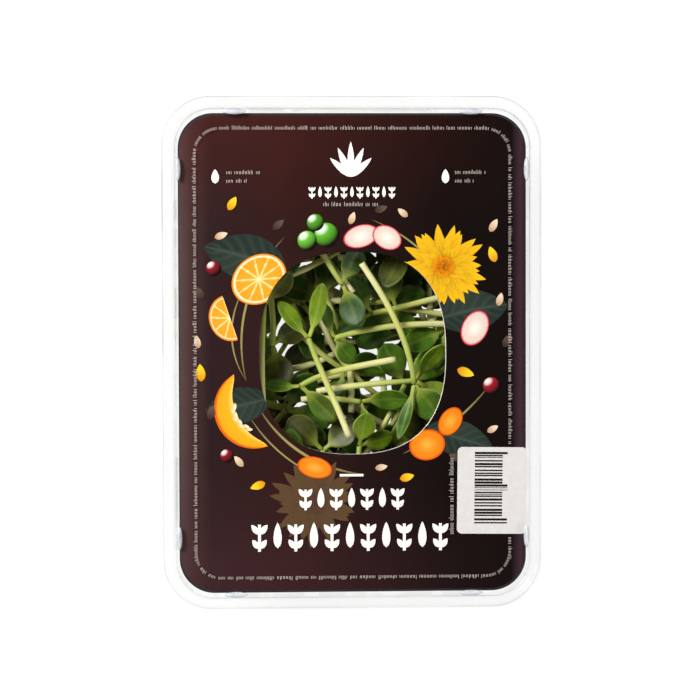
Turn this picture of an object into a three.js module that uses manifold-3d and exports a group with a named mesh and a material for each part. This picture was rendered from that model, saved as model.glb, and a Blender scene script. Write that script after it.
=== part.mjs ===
// Retail pack of cut sunflower shoots: a clear tray, a clear press-on lid, a printed card with a
// die-cut window lying in the lid's recess, a sticker on the card, and the loose shoots inside.
// Millimetres, +Z up. The origin is under the middle of the foot, and the long side runs along Y.
import * as THREE from 'three';
import { mergeVertices } from 'three/addons/utils/BufferGeometryUtils.js';
import Module from 'manifold-3d';

const wasm = await Module();
wasm.setup();

// ---- Driving dimensions -------------------------------------------------------------------

const PACK = { width: 138.4, length: 187, height: 45, corner: 18 };
const ARC_STEPS = 4; // half the count of straight pieces in each rounded corner
const GAP = 0.3; // clearance between a part and the one that it sits on

// A wall's profile is a list of [inset from the pack's outline, height, corner radius].
const LID = {
  wall: 0.7,
  rimInset: 4.75, // the rim's inner edge, where the recess begins
  floorInset: 5.8,
  floorTop: 41.6,
  skirtBottom: 37.6,
};
const LUG = { length: 8.6, radius: 0.95, height: 43.9, reach: 0.55, alongX: 42.8, alongY: 66.8 };

const TRAY = {
  wall: 0.8,
  flangeInset: 1.4,
  flangeTop: 43.3,
  mouthInset: 3.7,
  ledgeInset: 5.6,
  ledgeHeight: 33,
  footInset: 12.5,
  footWidth: 7,
  footCorner: 15,
  panelRise: 1.2, // the floor's middle stands this far above the foot
};

const CARD = { width: 126.4, length: 174.1, corner: 12.8, thickness: 0.4 };
const WINDOW = { halfWidth: 34, halfLength: 36.8, power: 2.5, points: 48 }; // between an oval and a box
const STICKER = { left: 38, right: 63.4, bottom: -66.2, top: -34.5, corner: 1.8, thickness: 0.3 };

const SHOOT = {
  stemRadius: 1.12,
  stemSides: 6,
  stemSteps: 5,
  stemArch: 0.8, // how far a top shoot's stem bows upwards
  petioleHalf: 0.8, // half the width of the short stalk under each seed leaf
  petioleEnd: 0.17, // where the stalk ends, as a share of the leaf's length
  leafThickness: 1.2,
  leafStations: [0, 0.17, 0.32, 0.52, 0.74, 0.92],
};
const LOOSE_SHOOTS = 34; // how many fill the tray under and around the top ones
const FILL = {
  lowest: 3.4,
  highest: 33,
  draws: 40, // places tried in plan for each loose shoot
  spread: [0.9, 0.95], // shares of the pack's width and length that the places are drawn from
  step: 0.4, // between the heights tried
  spacing: 1.8, // between the points that stand for a shoot
  stemRoom: SHOOT.stemRadius + 0.25, // how far other shoots keep from a stem's points
  leafRoom: 1.1,
  wallClearance: 1.7,
};

const COLOURS = {
  clear: { color: '#f2f5f5', roughness: 0.08, metalness: 0, transparent: true, opacity: 0.35 },
  card: { color: '#35211f', roughness: 0.45, metalness: 0 },
  sticker: { color: '#e4e2e0', roughness: 0.6, metalness: 0 },
  bright: { color: '#7fa63c', roughness: 0.5, metalness: 0 },
  green: { color: '#4f7a2a', roughness: 0.5, metalness: 0 },
  dark: { color: '#2f5222', roughness: 0.5, metalness: 0 },
  olive: { color: '#6f6f30', roughness: 0.55, metalness: 0 },
};

// The shoots that lie on top, from the highest down. stem: the cut end, two bend points and the
// leafy end, in plan. fall: how much lower the cut end lies than the leafy one. leaves: heading,
// rise and roll in degrees, then length and width.
const TOP_SHOOTS = [
  {
    stem: [[-1.3, -30.8], [-5, -20], [-12.3, -5.5], [-15.8, 5.2]],
    fall: -2.5,
    leaves: [[134, -6, 24, 18, 6.4], [69, -6, -22, 21.8, 6.6]],
    tone: 'bright',
  },
  {
    stem: [[3.5, 32.7], [10.3, 22.5], [21, 6.5], [22.8, -11.5]],
    fall: -2,
    leaves: [[-50, -10, 15, 16.5, 11.5], [-98, -4, 30, 22, 5]],
    tone: 'green',
  },
  {
    stem: [[16.2, -2.7], [4, -4.9], [-10.5, -6.8], [-18.8, -12.3]],
    fall: 0.5,
    leaves: [[-41, -4, 18, 18.6, 8.4], [188, -12, 40, 14, 6]],
    tone: 'green',
  },
  {
    stem: [[-31, 35], [-30.4, 24], [-27.6, 12], [-28.9, 2.3]],
    fall: 1,
    leaves: [[-76, -3, 4, 16.5, 11.3], [40, -14, 22, 15, 10]],
    tone: 'olive',
  },
  {
    stem: [[-23.9, 12.5], [-17, 5], [-10, -2.5], [-2.6, -6.6]],
    fall: 0,
    leaves: [[-91, 6, 30, 15, 5.2], [4, -6, 34, 17, 5]],
    tone: 'green',
  },
  {
    stem: [[-12.8, -14.5], [-0.6, -12.2], [11.7, -11.6], [23.9, -10.7]],
    fall: 0.4,
    leaves: [[60, 4, 26, 17.4, 7.4], [-33, -4, -20, 15.5, 8.2]],
    tone: 'bright',
  },
  {
    stem: [[42, 9.9], [26, 10.9], [9, 9.9], [-6, 5.2]],
    fall: -1,
    leaves: [[-57, -24, -20, 12, 8], [118, -6, 30, 15, 5.6]],
    tone: 'green',
  },
  {
    stem: [[39, 21.4], [28, 18.6], [18, 16.2], [8, 14.1]],
    fall: 1,
    leaves: [[126, -4, 30, 16, 9], [204, -8, -24, 15, 8.4]],
    tone: 'dark',
  },
  {
    stem: [[-15, 19.6], [-4, 18.6], [5, 17.6], [12.6, 18.2]],
    fall: 0,
    leaves: [[17, 0, 14, 16.5, 8.5], [-40, -16, 30, 17, 10]],
    tone: 'green',
  },
  {
    stem: [[-3, -54], [1, -50], [2.6, -42], [2.7, -34.6]],
    fall: 1,
    leaves: [[80, 3, 8, 13.6, 8.6], [20, -26, 20, 14, 7.6]],
    tone: 'bright',
  },
  {
    stem: [[-18.4, -17.6], [-10, -16.6], [-3, -17.6], [3.5, -18.5]],
    fall: 0,
    leaves: [[10, -2, 24, 18.5, 8.6], [-66, -8, 52, 15, 8]],
    tone: 'green',
  },
  {
    stem: [[-5.6, -76], [-8, -62], [-11, -48], [-10.4, -36.3]],
    fall: 1,
    leaves: [[139, -2, 8, 18.5, 11.4], [38, -4, -18, 16.5, 10.5]],
    tone: 'olive',
  },
  {
    stem: [[56, 27], [48, 23], [41, 15], [35.6, 8.6]],
    fall: 0,
    leaves: [[207, -6, 16, 18, 9.4], [262, -14, 30, 17, 10]],
    tone: 'green',
  },
  {
    stem: [[47, -56], [44, -48], [36, -41], [29.9, -34]],
    fall: 0,
    leaves: [[139, -2, 10, 17.5, 11], [208, -10, 30, 17, 10]],
    tone: 'olive',
  },
  {
    stem: [[-32.4, -22], [-33.4, -10], [-33, 6], [-32, 17.4]],
    fall: 0,
    leaves: [[58, -2, 20, 16.5, 9], [128, -8, 20, 18, 10]],
    tone: 'olive',
  },
  {
    stem: [[-1, -2], [-5, 5], [-12, 11], [-17.3, 17.2]],
    fall: 1,
    leaves: [[90, -2, 8, 15.6, 8.8], [158, -8, 20, 17, 10]],
    tone: 'olive',
  },
  {
    stem: [[13.3, -19], [12, -8], [11, 4], [10.4, 16.6]],
    fall: -1,
    leaves: [[97, 0, 20, 17, 10], [44, -2, 12, 22, 12]],
    tone: 'dark',
  },
  {
    stem: [[-3.8, -9], [3, -8], [10, -7], [15.8, -5.9]],
    fall: 0,
    leaves: [[48, -4, 20, 17, 10], [-42, -8, 20, 18, 11]],
    tone: 'dark',
  },
  {
    stem: [[-20, 54], [-14, 42], [-9, 33], [-3.5, 25]],
    fall: 0,
    leaves: [[-64, -8, 20, 17, 10], [68, -2, 24, 15.5, 9.5]],
    tone: 'dark',
  },
  {
    stem: [[-38, -43], [-35, -36], [-30, -28], [-24, -22]],
    fall: 0,
    leaves: [[60, -4, 24, 18, 11], [-10, -8, 18, 18, 11]],
    tone: 'dark',
  },
];

// ---- Plain helpers ------------------------------------------------------------------------

const radians = THREE.MathUtils.degToRad;

// Seeded draws between 0 and 1. The seed is spread first, so that neighbours differ.
function seeded(seed) {
  let state = Math.imul(seed + 1, 2654435761) >>> 0;
  return () => {
    state = (Math.imul(state, 1664525) + 1013904223) >>> 0;
    return state / 2 ** 32;
  };
}

function roundedShape(halfX, halfY, radius) {
  const shape = new THREE.Shape();
  const x = halfX - radius;
  const y = halfY - radius;
  shape.absarc(x, -y, radius, -Math.PI / 2, 0);
  shape.absarc(x, y, radius, 0, Math.PI / 2);
  shape.absarc(-x, y, radius, Math.PI / 2, Math.PI);
  shape.absarc(-x, -y, radius, Math.PI, 1.5 * Math.PI);
  return shape;
}

// The pack's outline moved in by an inset, as a ring of points at one height.
function packRing([inset, height, radius]) {
  const shape = roundedShape(PACK.width / 2 - inset, PACK.length / 2 - inset, radius);
  return shape.getPoints(ARC_STEPS).map((point) => new THREE.Vector3(point.x, point.y, height));
}

// A closed skin over rings of equal count, from a first point to a last one. The second half of
// each ring is split the other way, so that the two faces of a thin blade have alike triangles.
function loft(first, rings, last) {
  const count = rings[0].length;
  const points = [first, ...rings.flat(), last];
  const at = (ring, side) => 1 + ring * count + (side % count);
  const faces = [];
  for (let side = 0; side < count; side += 1) {
    faces.push(0, at(0, side + 1), at(0, side));
    faces.push(points.length - 1, at(rings.length - 1, side), at(rings.length - 1, side + 1));
    for (let ring = 0; ring + 1 < rings.length; ring += 1) {
      const [a, b] = [at(ring, side), at(ring, side + 1)];
      const [c, d] = [at(ring + 1, side + 1), at(ring + 1, side)];
      faces.push(...(side < count / 2 ? [a, b, c, a, c, d] : [a, b, d, b, c, d]));
    }
  }
  const geometry = new THREE.BufferGeometry().setFromPoints(points);
  geometry.setIndex(faces);
  return geometry;
}

function toManifold(geometry) {
  const bare = geometry.clone();
  bare.deleteAttribute('normal');
  bare.deleteAttribute('uv');
  const merged = mergeVertices(bare, 1e-4);
  return new wasm.Manifold(new wasm.Mesh({
    numProp: 3,
    vertProperties: new Float32Array(merged.attributes.position.array),
    triVerts: new Uint32Array(merged.index.array),
  }));
}

function toGeometry(manifold) {
  const mesh = manifold.getMesh();
  const geometry = new THREE.BufferGeometry();
  geometry.setAttribute('position', new THREE.BufferAttribute(mesh.vertProperties, 3));
  geometry.setIndex(new THREE.BufferAttribute(mesh.triVerts, 1));
  geometry.computeVertexNormals();
  return geometry;
}

function fuse(geometries) {
  const [first, ...others] = geometries.map(toManifold);
  return toGeometry(others.reduce((whole, piece) => whole.add(piece), first));
}

function named(name, geometry, finish) {
  const mesh = new THREE.Mesh(geometry, new THREE.MeshStandardMaterial(COLOURS[finish]));
  mesh.name = name;
  return mesh;
}

// ---- Tray ---------------------------------------------------------------------------------

function buildTray() {
  const { wall, flangeInset, flangeTop, mouthInset, ledgeInset, ledgeHeight } = TRAY;
  const { footInset, footWidth, footCorner, panelRise } = TRAY;
  const panelInset = footInset + footWidth;
  const mouthCorner = PACK.corner - mouthInset;
  const ledgeCorner = PACK.corner - ledgeInset + 1;
  const flangeCorner = PACK.corner - flangeInset;
  const lip = 3.2; // how far the flange turns down at its edge
  const outside = [
    [panelInset + 1.5, panelRise, footCorner - 5],
    [panelInset, 0, footCorner - 4],
    [footInset + 2.4, 0, footCorner - 2],
    [footInset + 0.5, 1.2, footCorner - 1],
    [footInset - 0.6, 4, footCorner],
    [ledgeInset + 1.2, ledgeHeight - 1, ledgeCorner],
    [ledgeInset, ledgeHeight, ledgeCorner],
    [mouthInset, flangeTop - wall, mouthCorner],
    [flangeInset + wall, flangeTop - wall, flangeCorner - wall],
    [flangeInset + wall, flangeTop - lip, flangeCorner - wall],
    [flangeInset, flangeTop - lip, flangeCorner],
  ];
  const inside = [
    [flangeInset, flangeTop, flangeCorner],
    [mouthInset, flangeTop, mouthCorner],
    [ledgeInset + wall, ledgeHeight + 0.3, ledgeCorner - wall],
    [ledgeInset + 1.2 + wall, ledgeHeight - 0.7, ledgeCorner - wall],
    [footInset - 0.6 + wall, 4.3, footCorner - wall],
    [footInset + 0.5 + wall, 1.2 + wall, footCorner - 1 - wall],
    [footInset + 2.4 + wall, wall, footCorner - 2 - wall],
    [panelInset - 0.3, wall, footCorner - 4],
    [panelInset + 1.2, panelRise + wall, footCorner - 5],
  ];
  const under = new THREE.Vector3(0, 0, panelRise);
  const over = new THREE.Vector3(0, 0, panelRise + wall);
  return named('tray', loft(under, [...outside, ...inside].map(packRing), over), 'clear');
}

// ---- Lid ----------------------------------------------------------------------------------

// A small bump on the recess wall, which holds the card's edge down.
function lugGeometry(x, y, turned) {
  const lug = new THREE.CylinderGeometry(LUG.radius, LUG.radius, LUG.length, 6);
  if (!turned) lug.rotateZ(Math.PI / 2);
  lug.translate(x, y, LUG.height);
  return lug;
}

function buildLid() {
  const { wall, rimInset, floorInset, floorTop, skirtBottom } = LID;
  const corner = (inset) => PACK.corner - 0.87 * inset;
  const ring = (inset, height) => [inset, height, corner(inset)];
  const top = PACK.height;
  const outside = [
    ring(floorInset - wall, floorTop - wall),
    ring(rimInset - wall + 0.1, top - wall - 0.5),
    ring(rimInset - wall - 0.3, top - wall),
    ring(1.5, top - wall),
    ring(0.3 + wall, top - wall - 0.9),
    ring(0.3 + wall, skirtBottom + wall),
    ring(wall, skirtBottom),
    ring(0, skirtBottom),
    ring(0, skirtBottom + wall),
  ];
  const inside = [
    ring(0.3, skirtBottom + 2 * wall),
    ring(0.3, top - 1.4),
    ring(0.6, top - 0.5),
    ring(1.5, top),
    ring(rimInset - 0.6, top),
    ring(rimInset, top - 0.4),
    ring(floorInset, floorTop),
  ];
  const under = new THREE.Vector3(0, 0, floorTop - wall);
  const over = new THREE.Vector3(0, 0, floorTop);
  const shell = loft(under, [...outside, ...inside].map(packRing), over);
  const edgeX = PACK.width / 2 - floorInset + LUG.reach;
  const edgeY = PACK.length / 2 - floorInset + LUG.reach;
  const lugs = [-1, 1].flatMap((end) => [-1, 1].flatMap((side) => [
    lugGeometry(end * edgeX, side * LUG.alongY, true),
    lugGeometry(side * LUG.alongX, end * edgeY, false),
  ]));
  return named('lid', fuse([shell, ...lugs]), 'clear');
}

// ---- Card and sticker ---------------------------------------------------------------------

const cardBottom = LID.floorTop + GAP / 2;
const stickerBottom = cardBottom + CARD.thickness + GAP / 2;

// A superellipse: an oval drawn out towards its four corners.
function windowOutline() {
  const bulge = (value) => Math.sign(value) * Math.abs(value) ** (2 / WINDOW.power);
  return Array.from({ length: WINDOW.points }, (_, number) => {
    const angle = 2 * Math.PI * (number + 0.5) / WINDOW.points;
    return new THREE.Vector2(
      WINDOW.halfWidth * bulge(Math.cos(angle)), WINDOW.halfLength * bulge(Math.sin(angle)));
  });
}

function buildCard() {
  const shape = roundedShape(CARD.width / 2, CARD.length / 2, CARD.corner);
  shape.holes.push(new THREE.Path(windowOutline()));
  const settings = { depth: CARD.thickness, bevelEnabled: false, curveSegments: 12 };
  const geometry = new THREE.ExtrudeGeometry(shape, settings).translate(0, 0, cardBottom);
  return named('label_card', geometry, 'card');
}

function buildSticker() {
  const { left, right, bottom, top, corner, thickness } = STICKER;
  const shape = roundedShape((right - left) / 2, (top - bottom) / 2, corner);
  const settings = { depth: thickness, bevelEnabled: false, curveSegments: 3 };
  const geometry = new THREE.ExtrudeGeometry(shape, settings);
  geometry.translate((left + right) / 2, (top + bottom) / 2, stickerBottom);
  return named('bar_sticker', geometry, 'sticker');
}

// ---- Shoots -------------------------------------------------------------------------------

// Half the width of a seed leaf, at a share of its length: a short stalk, then a blunt oval.
function leafHalfWidth(share, width) {
  const along = Math.max(0, share - SHOOT.petioleEnd) / (1 - SHOOT.petioleEnd);
  const oval = Math.sin(Math.PI * along ** 1.1) ** 0.6;
  return Math.max(SHOOT.petioleHalf * (1 - along), oval * width / 2);
}

// Where a leaf runs: its middle line bends up or down by the curl, and its edges are raised.
function leafFrame(base, leaf) {
  const { heading, rise, roll, length, width, curl, cup } = leaf;
  const ahead = new THREE.Vector3(
    Math.cos(rise) * Math.cos(heading), Math.cos(rise) * Math.sin(heading), Math.sin(rise));
  const level = new THREE.Vector3(-Math.sin(heading), Math.cos(heading), 0);
  const lift = new THREE.Vector3().crossVectors(ahead, level);
  const side = level.clone().multiplyScalar(Math.cos(roll)).addScaledVector(lift, Math.sin(roll));
  const up = lift.clone().multiplyScalar(Math.cos(roll)).addScaledVector(level, -Math.sin(roll));
  return (share, across, height) => {
    const turn = curl * share;
    const radius = length / curl;
    const half = leafHalfWidth(share, width);
    const raised = height + cup * across ** 2 * (2 * half / width) ** 2;
    return base.clone()
      .addScaledVector(ahead, radius * Math.sin(turn) - raised * Math.sin(turn))
      .addScaledVector(up, radius * (1 - Math.cos(turn)) + raised * Math.cos(turn))
      .addScaledVector(side, across * half);
  };
}

function leafGeometry(place) {
  const rings = SHOOT.leafStations.map((share) => {
    const half = SHOOT.leafThickness / 2;
    return [place(share, 1, 0), place(share, 0, half), place(share, -1, 0), place(share, 0, -half)];
  });
  return loft(place(-0.04, 0, 0), rings, place(1, 0, 0));
}

function stemGeometry(curve, radius) {
  const section = new THREE.Shape();
  section.absarc(0, 0, radius, 0, 2 * Math.PI);
  return new THREE.ExtrudeGeometry(section, {
    steps: SHOOT.stemSteps,
    curveSegments: SHOOT.stemSides / 2,
    bevelEnabled: false,
    extrudePath: curve,
  });
}

// Points through the shoot, each with the room that it takes, for finding a clear place.
function roomPoints(curve, places, leaves) {
  const points = curve.getSpacedPoints(Math.ceil(curve.getLength() / FILL.spacing))
    .map((point) => ({ point, room: FILL.stemRoom }));
  places.forEach((place, index) => {
    const rows = Math.ceil(leaves[index].length / FILL.spacing);
    for (let row = 2; row <= rows; row += 1) {
      const half = leafHalfWidth(row / rows, leaves[index].width);
      const columns = Math.ceil(half / FILL.spacing);
      for (let column = -columns; column <= columns; column += 1) {
        const across = columns ? column / columns : 0;
        points.push({ point: place(row / rows, across, 0), room: FILL.leafRoom });
      }
    }
  });
  return points;
}

function makeShoot({ stem, leaves, tone }) {
  const curve = new THREE.CubicBezierCurve3(...stem);
  const places = leaves.map((leaf) => leafFrame(stem[3], leaf));
  return {
    geometry: fuse([stemGeometry(curve, SHOOT.stemRadius), ...places.map(leafGeometry)]),
    points: roomPoints(curve, places, leaves),
    tone,
  };
}

function topShoot({ stem, fall, leaves, tone }, index) {
  const draw = seeded(100 + index);
  const heights = [-fall, SHOOT.stemArch - fall * 0.7, SHOOT.stemArch - fall * 0.3, 0];
  return makeShoot({
    stem: stem.map(([x, y], place) => new THREE.Vector3(x, y, heights[place])),
    leaves: leaves.map(([heading, rise, roll, length, width]) => ({
      heading: radians(heading),
      rise: radians(rise),
      roll: radians(roll),
      length,
      width,
      curl: 0.2 + 0.5 * draw(),
      cup: 0.6 + 0.8 * draw(),
    })),
    tone,
  });
}

function looseShoot(index) {
  const draw = seeded(index);
  const between = (low, high) => low + (high - low) * draw();
  const reach = between(36, 54) / 3;
  const bend = radians(between(-48, 48));
  const heading = radians(between(0, 360));
  const slope = Math.tan(radians(between(-12, 12)));
  const stem = [new THREE.Vector3()];
  for (let part = 0; part < 3; part += 1) {
    const way = heading + bend * part / 2;
    const step = new THREE.Vector3(Math.cos(way), Math.sin(way), slope * (1 - part * 0.6));
    stem.push(stem[part].clone().addScaledVector(step, reach));
  }
  const leaves = [1, -1].map((side) => ({
    heading: heading + bend + side * radians(between(24, 68)),
    rise: radians(between(-16, 20)),
    roll: radians(side * between(-10, 50)),
    length: between(16.5, 22),
    width: between(9, 12),
    curl: between(-0.5, 0.9) || 0.1,
    cup: between(0.3, 1.4),
  }));
  return makeShoot({ stem, leaves, tone: ['green', 'dark', 'olive', 'green'][index % 4] });
}

// ---- Finding a clear place for each shoot --------------------------------------------------

const CELL = 3;
const taken = new Map();
const cellKey = (x, y, z) => `${x},${y},${z}`;

function take(points, move) {
  points.forEach(({ point, room }) => {
    const moved = point.clone().add(move);
    const cell = moved.clone().divideScalar(CELL).floor();
    const key = cellKey(cell.x, cell.y, cell.z);
    if (!taken.has(key)) taken.set(key, []);
    taken.get(key).push({ point: moved, room });
  });
}

function meetsOther(point, room) {
  const cell = point.clone().divideScalar(CELL).floor();
  for (let x = cell.x - 1; x <= cell.x + 1; x += 1) {
    for (let y = cell.y - 1; y <= cell.y + 1; y += 1) {
      for (let z = cell.z - 1; z <= cell.z + 1; z += 1) {
        const others = taken.get(cellKey(x, y, z)) ?? [];
        if (others.some((other) => other.point.distanceTo(point) < other.room + room)) return true;
      }
    }
  }
  return false;
}

const roof = LID.floorTop - LID.wall - GAP;

// True where a point of a shoot has room inside the tray's walls, over its floor, under the lid.
function insideTray(point, room) {
  if (point.z + room > roof || point.z - room < TRAY.panelRise + TRAY.wall + GAP) return false;
  const rise = point.z / TRAY.ledgeHeight;
  const wallInset = TRAY.footInset + (TRAY.ledgeInset - TRAY.footInset) * Math.min(rise, 1);
  const inset = wallInset + TRAY.wall + FILL.wallClearance + room;
  const radius = TRAY.footCorner - TRAY.wall;
  const x = Math.abs(point.x) - (PACK.width / 2 - inset - radius);
  const y = Math.abs(point.y) - (PACK.length / 2 - inset - radius);
  return Math.hypot(Math.max(x, 0), Math.max(y, 0)) < radius;
}

function isClear(points, move) {
  return points.every(({ point, room }) => {
    const moved = point.clone().add(move);
    return insideTray(moved, room) && !meetsOther(moved, room);
  });
}

// The first clear height from one height towards another, or null.
function clearHeight(points, x, y, from, to) {
  const direction = to > from ? 1 : -1;
  const steps = Math.floor(Math.abs(to - from) / FILL.step);
  for (let count = 0; count < steps; count += 1) {
    const height = from + direction * count * FILL.step;
    if (isClear(points, new THREE.Vector3(x, y, height))) return height;
  }
  return null;
}

// A top shoot keeps its place in plan, and lies as high as those above it allow.
function settleTop(shoot) {
  const height = clearHeight(shoot.points, 0, 0, roof, TRAY.panelRise);
  return height === null ? null : new THREE.Vector3(0, 0, height);
}

// A loose shoot takes the lowest of several drawn places, from its own level upwards.
function settleLoose(shoot, index) {
  const level = FILL.lowest + (FILL.highest - FILL.lowest) * index / LOOSE_SHOOTS;
  return lowestPlace(shoot, index, level) ?? lowestPlace(shoot, index, FILL.lowest);
}

function lowestPlace(shoot, index, level) {
  const draw = seeded(1000 + index);
  let best = null;
  for (let attempt = 0; attempt < FILL.draws; attempt += 1) {
    const x = (draw() - 0.5) * PACK.width * FILL.spread[0];
    const y = (draw() - 0.5) * PACK.length * FILL.spread[1];
    const height = clearHeight(shoot.points, x, y, level, best ? best.z : roof);
    if (height !== null) best = new THREE.Vector3(x, y, height);
  }
  return best;
}

function placeShoot(shoot, place, number) {
  take(shoot.points, place);
  const mesh = named(`shoot_${String(number).padStart(2, '0')}`, shoot.geometry, shoot.tone);
  mesh.position.copy(place);
  return mesh;
}

// A shoot that finds no clear place is left out, and its number with it.
function buildShoots() {
  const meshes = [];
  TOP_SHOOTS.map(topShoot).forEach((shoot, index) => {
    const place = settleTop(shoot);
    if (place) meshes.push(placeShoot(shoot, place, index + 1));
  });
  for (let index = 0; index < LOOSE_SHOOTS; index += 1) {
    const shoot = looseShoot(index);
    const place = settleLoose(shoot, index);
    if (place) meshes.push(placeShoot(shoot, place, TOP_SHOOTS.length + index + 1));
  }
  return meshes;
}

// ---- The pack -----------------------------------------------------------------------------

const pack = new THREE.Group();
pack.name = 'microgreens_pack';
pack.add(buildTray(), buildLid(), buildCard(), buildSticker(), ...buildShoots());

export default pack;
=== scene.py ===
"""Retail pack of cut sunflower shoots: clear tray and lid, printed window card, sticker, and the shoots."""
import math

import bmesh
import bpy
from bmesh.types import BMEdge, BMFace, BMVert
from mathutils import Matrix, Vector
from mathutils.kdtree import KDTree


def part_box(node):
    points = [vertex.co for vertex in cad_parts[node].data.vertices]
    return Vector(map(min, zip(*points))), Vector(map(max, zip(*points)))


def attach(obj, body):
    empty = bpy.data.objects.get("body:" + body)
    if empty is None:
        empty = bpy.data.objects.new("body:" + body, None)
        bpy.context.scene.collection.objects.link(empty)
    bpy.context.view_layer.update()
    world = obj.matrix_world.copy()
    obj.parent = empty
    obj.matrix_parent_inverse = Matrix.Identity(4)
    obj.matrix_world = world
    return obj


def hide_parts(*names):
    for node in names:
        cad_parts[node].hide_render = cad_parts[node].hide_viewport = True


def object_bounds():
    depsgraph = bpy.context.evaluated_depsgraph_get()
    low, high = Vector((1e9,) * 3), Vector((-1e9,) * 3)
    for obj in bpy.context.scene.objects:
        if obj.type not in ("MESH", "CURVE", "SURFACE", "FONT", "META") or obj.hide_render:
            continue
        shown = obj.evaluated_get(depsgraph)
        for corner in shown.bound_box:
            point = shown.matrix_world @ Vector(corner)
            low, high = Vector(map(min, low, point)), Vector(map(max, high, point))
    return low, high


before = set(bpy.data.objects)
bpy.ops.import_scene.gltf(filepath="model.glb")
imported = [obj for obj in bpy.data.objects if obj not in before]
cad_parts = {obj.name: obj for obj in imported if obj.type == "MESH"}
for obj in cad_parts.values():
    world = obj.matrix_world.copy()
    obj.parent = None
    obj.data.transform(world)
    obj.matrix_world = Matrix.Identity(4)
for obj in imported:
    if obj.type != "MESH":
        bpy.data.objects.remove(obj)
cad_low, cad_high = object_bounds()

MM = 0.001
BODY = "root"

# ---- Sizes, in millimetres unless a name says otherwise -------------------------------------

PACK_WIDTH = (cad_high.x - cad_low.x) / MM
PACK_LENGTH = (cad_high.y - cad_low.y) / MM
PACK_HEIGHT = cad_high.z / MM

CARD_LOW, CARD_HIGH = [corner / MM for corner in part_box("label_card")]
CARD_HALF_X, CARD_HALF_Y, CARD_TOP = CARD_HIGH
CARD_THICKNESS = CARD_TOP - CARD_LOW.z
CARD_CORNER = 12.8
WINDOW_HALF_WIDTH = 34.0
WINDOW_HALF_LENGTH = 36.8
WINDOW_POWER = 2.5  # 2 would be an oval, and more draws it out towards its corners
CUT_SLANT = Vector((-0.2, 0.11, 0))  # how far the window's cut leans from the card's face to its back
STICKER_LOW, STICKER_HIGH = [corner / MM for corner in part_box("bar_sticker")]
STICKER_CORNER = 1.8
STICKER_TURN = math.radians(-0.7)

FILM = 0.4  # thickness of the formed PET
OUTLINE_POINTS = 96  # points round the pack's outline, a quarter of them in each corner

# A formed wall's profile: inset from the pack's outline, height, corner radius.
TRAY_PROFILE = [
    (24.0, 1.2, 9.0), (21.0, 1.2, 10.0), (19.5, 0.0, 11.0), (14.9, 0.0, 13.0), (13.0, 1.2, 14.0),
    (11.9, 4.0, 15.0), (9.8, 14.0, 14.6), (6.8, 32.0, 13.4), (5.6, 33.0, 13.4), (3.7, 42.9, 14.3),
    (2.0, 42.9, 15.9), (1.4, 42.3, 16.6), (1.4, 40.1, 16.6),
]
LID_PROFILE = [
    (9.0, 41.6, 10.2), (5.8, 41.6, 13.0), (5.15, 44.7, 13.5), (4.65, 45.0, 13.9), (1.6, 45.0, 16.6),
    (0.5, 44.6, 17.5), (0.3, 43.2, 17.7), (0.3, 39.2, 17.7), (0.0, 38.6, 18.0), (0.0, 37.6, 18.0),
]
LID_BENDS = [(-0.1, 0.1), (4.7, 5.1)]  # the edge's foot and the brink of the recess, by inset
LUG_LENGTH = 8.6
LUG_RADIUS = 1.05
LUG_HEIGHT = 43.9
LUG_INSET = 5.95
LUG_ALONG_X = 42.8
LUG_ALONG_Y = 66.8

STEM_RADIUS = 1.12
STEM_TAPER = 0.2  # share of the radius that the stem loses up to its leaves
PETIOLE_HALF = 0.8  # half the width of a leaf's stalk
PETIOLE_END = 0.17  # share of the leaf's length
LEAF_THICKNESS = 1.2
LEAF_FULL_FROM = 1.6  # the half width from which a leaf is that thick
GROOVE_DEPTH = 0.16
GROOVE_SPREAD = 0.14  # share of the leaf's half width
LOOSE_SHOOTS = 34  # loose shoots that the frame was filled with
MIDDLE_SHOOTS = 60  # the last of the added ones, whose leaves lie under the window's middle
EXTRA_SHOOTS = 380 + MIDDLE_SHOOTS  # more of them, by the same rule
FLOOR_TOP = 2.3
ROOF = 40.6
LEAF_ROOM = 1.1  # how far the points of a leaf stay from the floor
FOOT_INSET = 12.5  # of the tray's wall at the floor
WALL_FLARE = 6.9  # how far the wall leans out up to the ledge
LEDGE_HEIGHT = 33.0
WALL_ROOM = 3.2  # how far the points stay from it
WALL_CORNER = 14.0
WINDOW_MARGIN = 4.0  # how far past the window its ceiling holds
WINDOW_CEILING = 20.0  # the added shoots stay under the top ones there
MIDDLE_CEILING = 27.0  # those in the middle may come nearer to them

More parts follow.
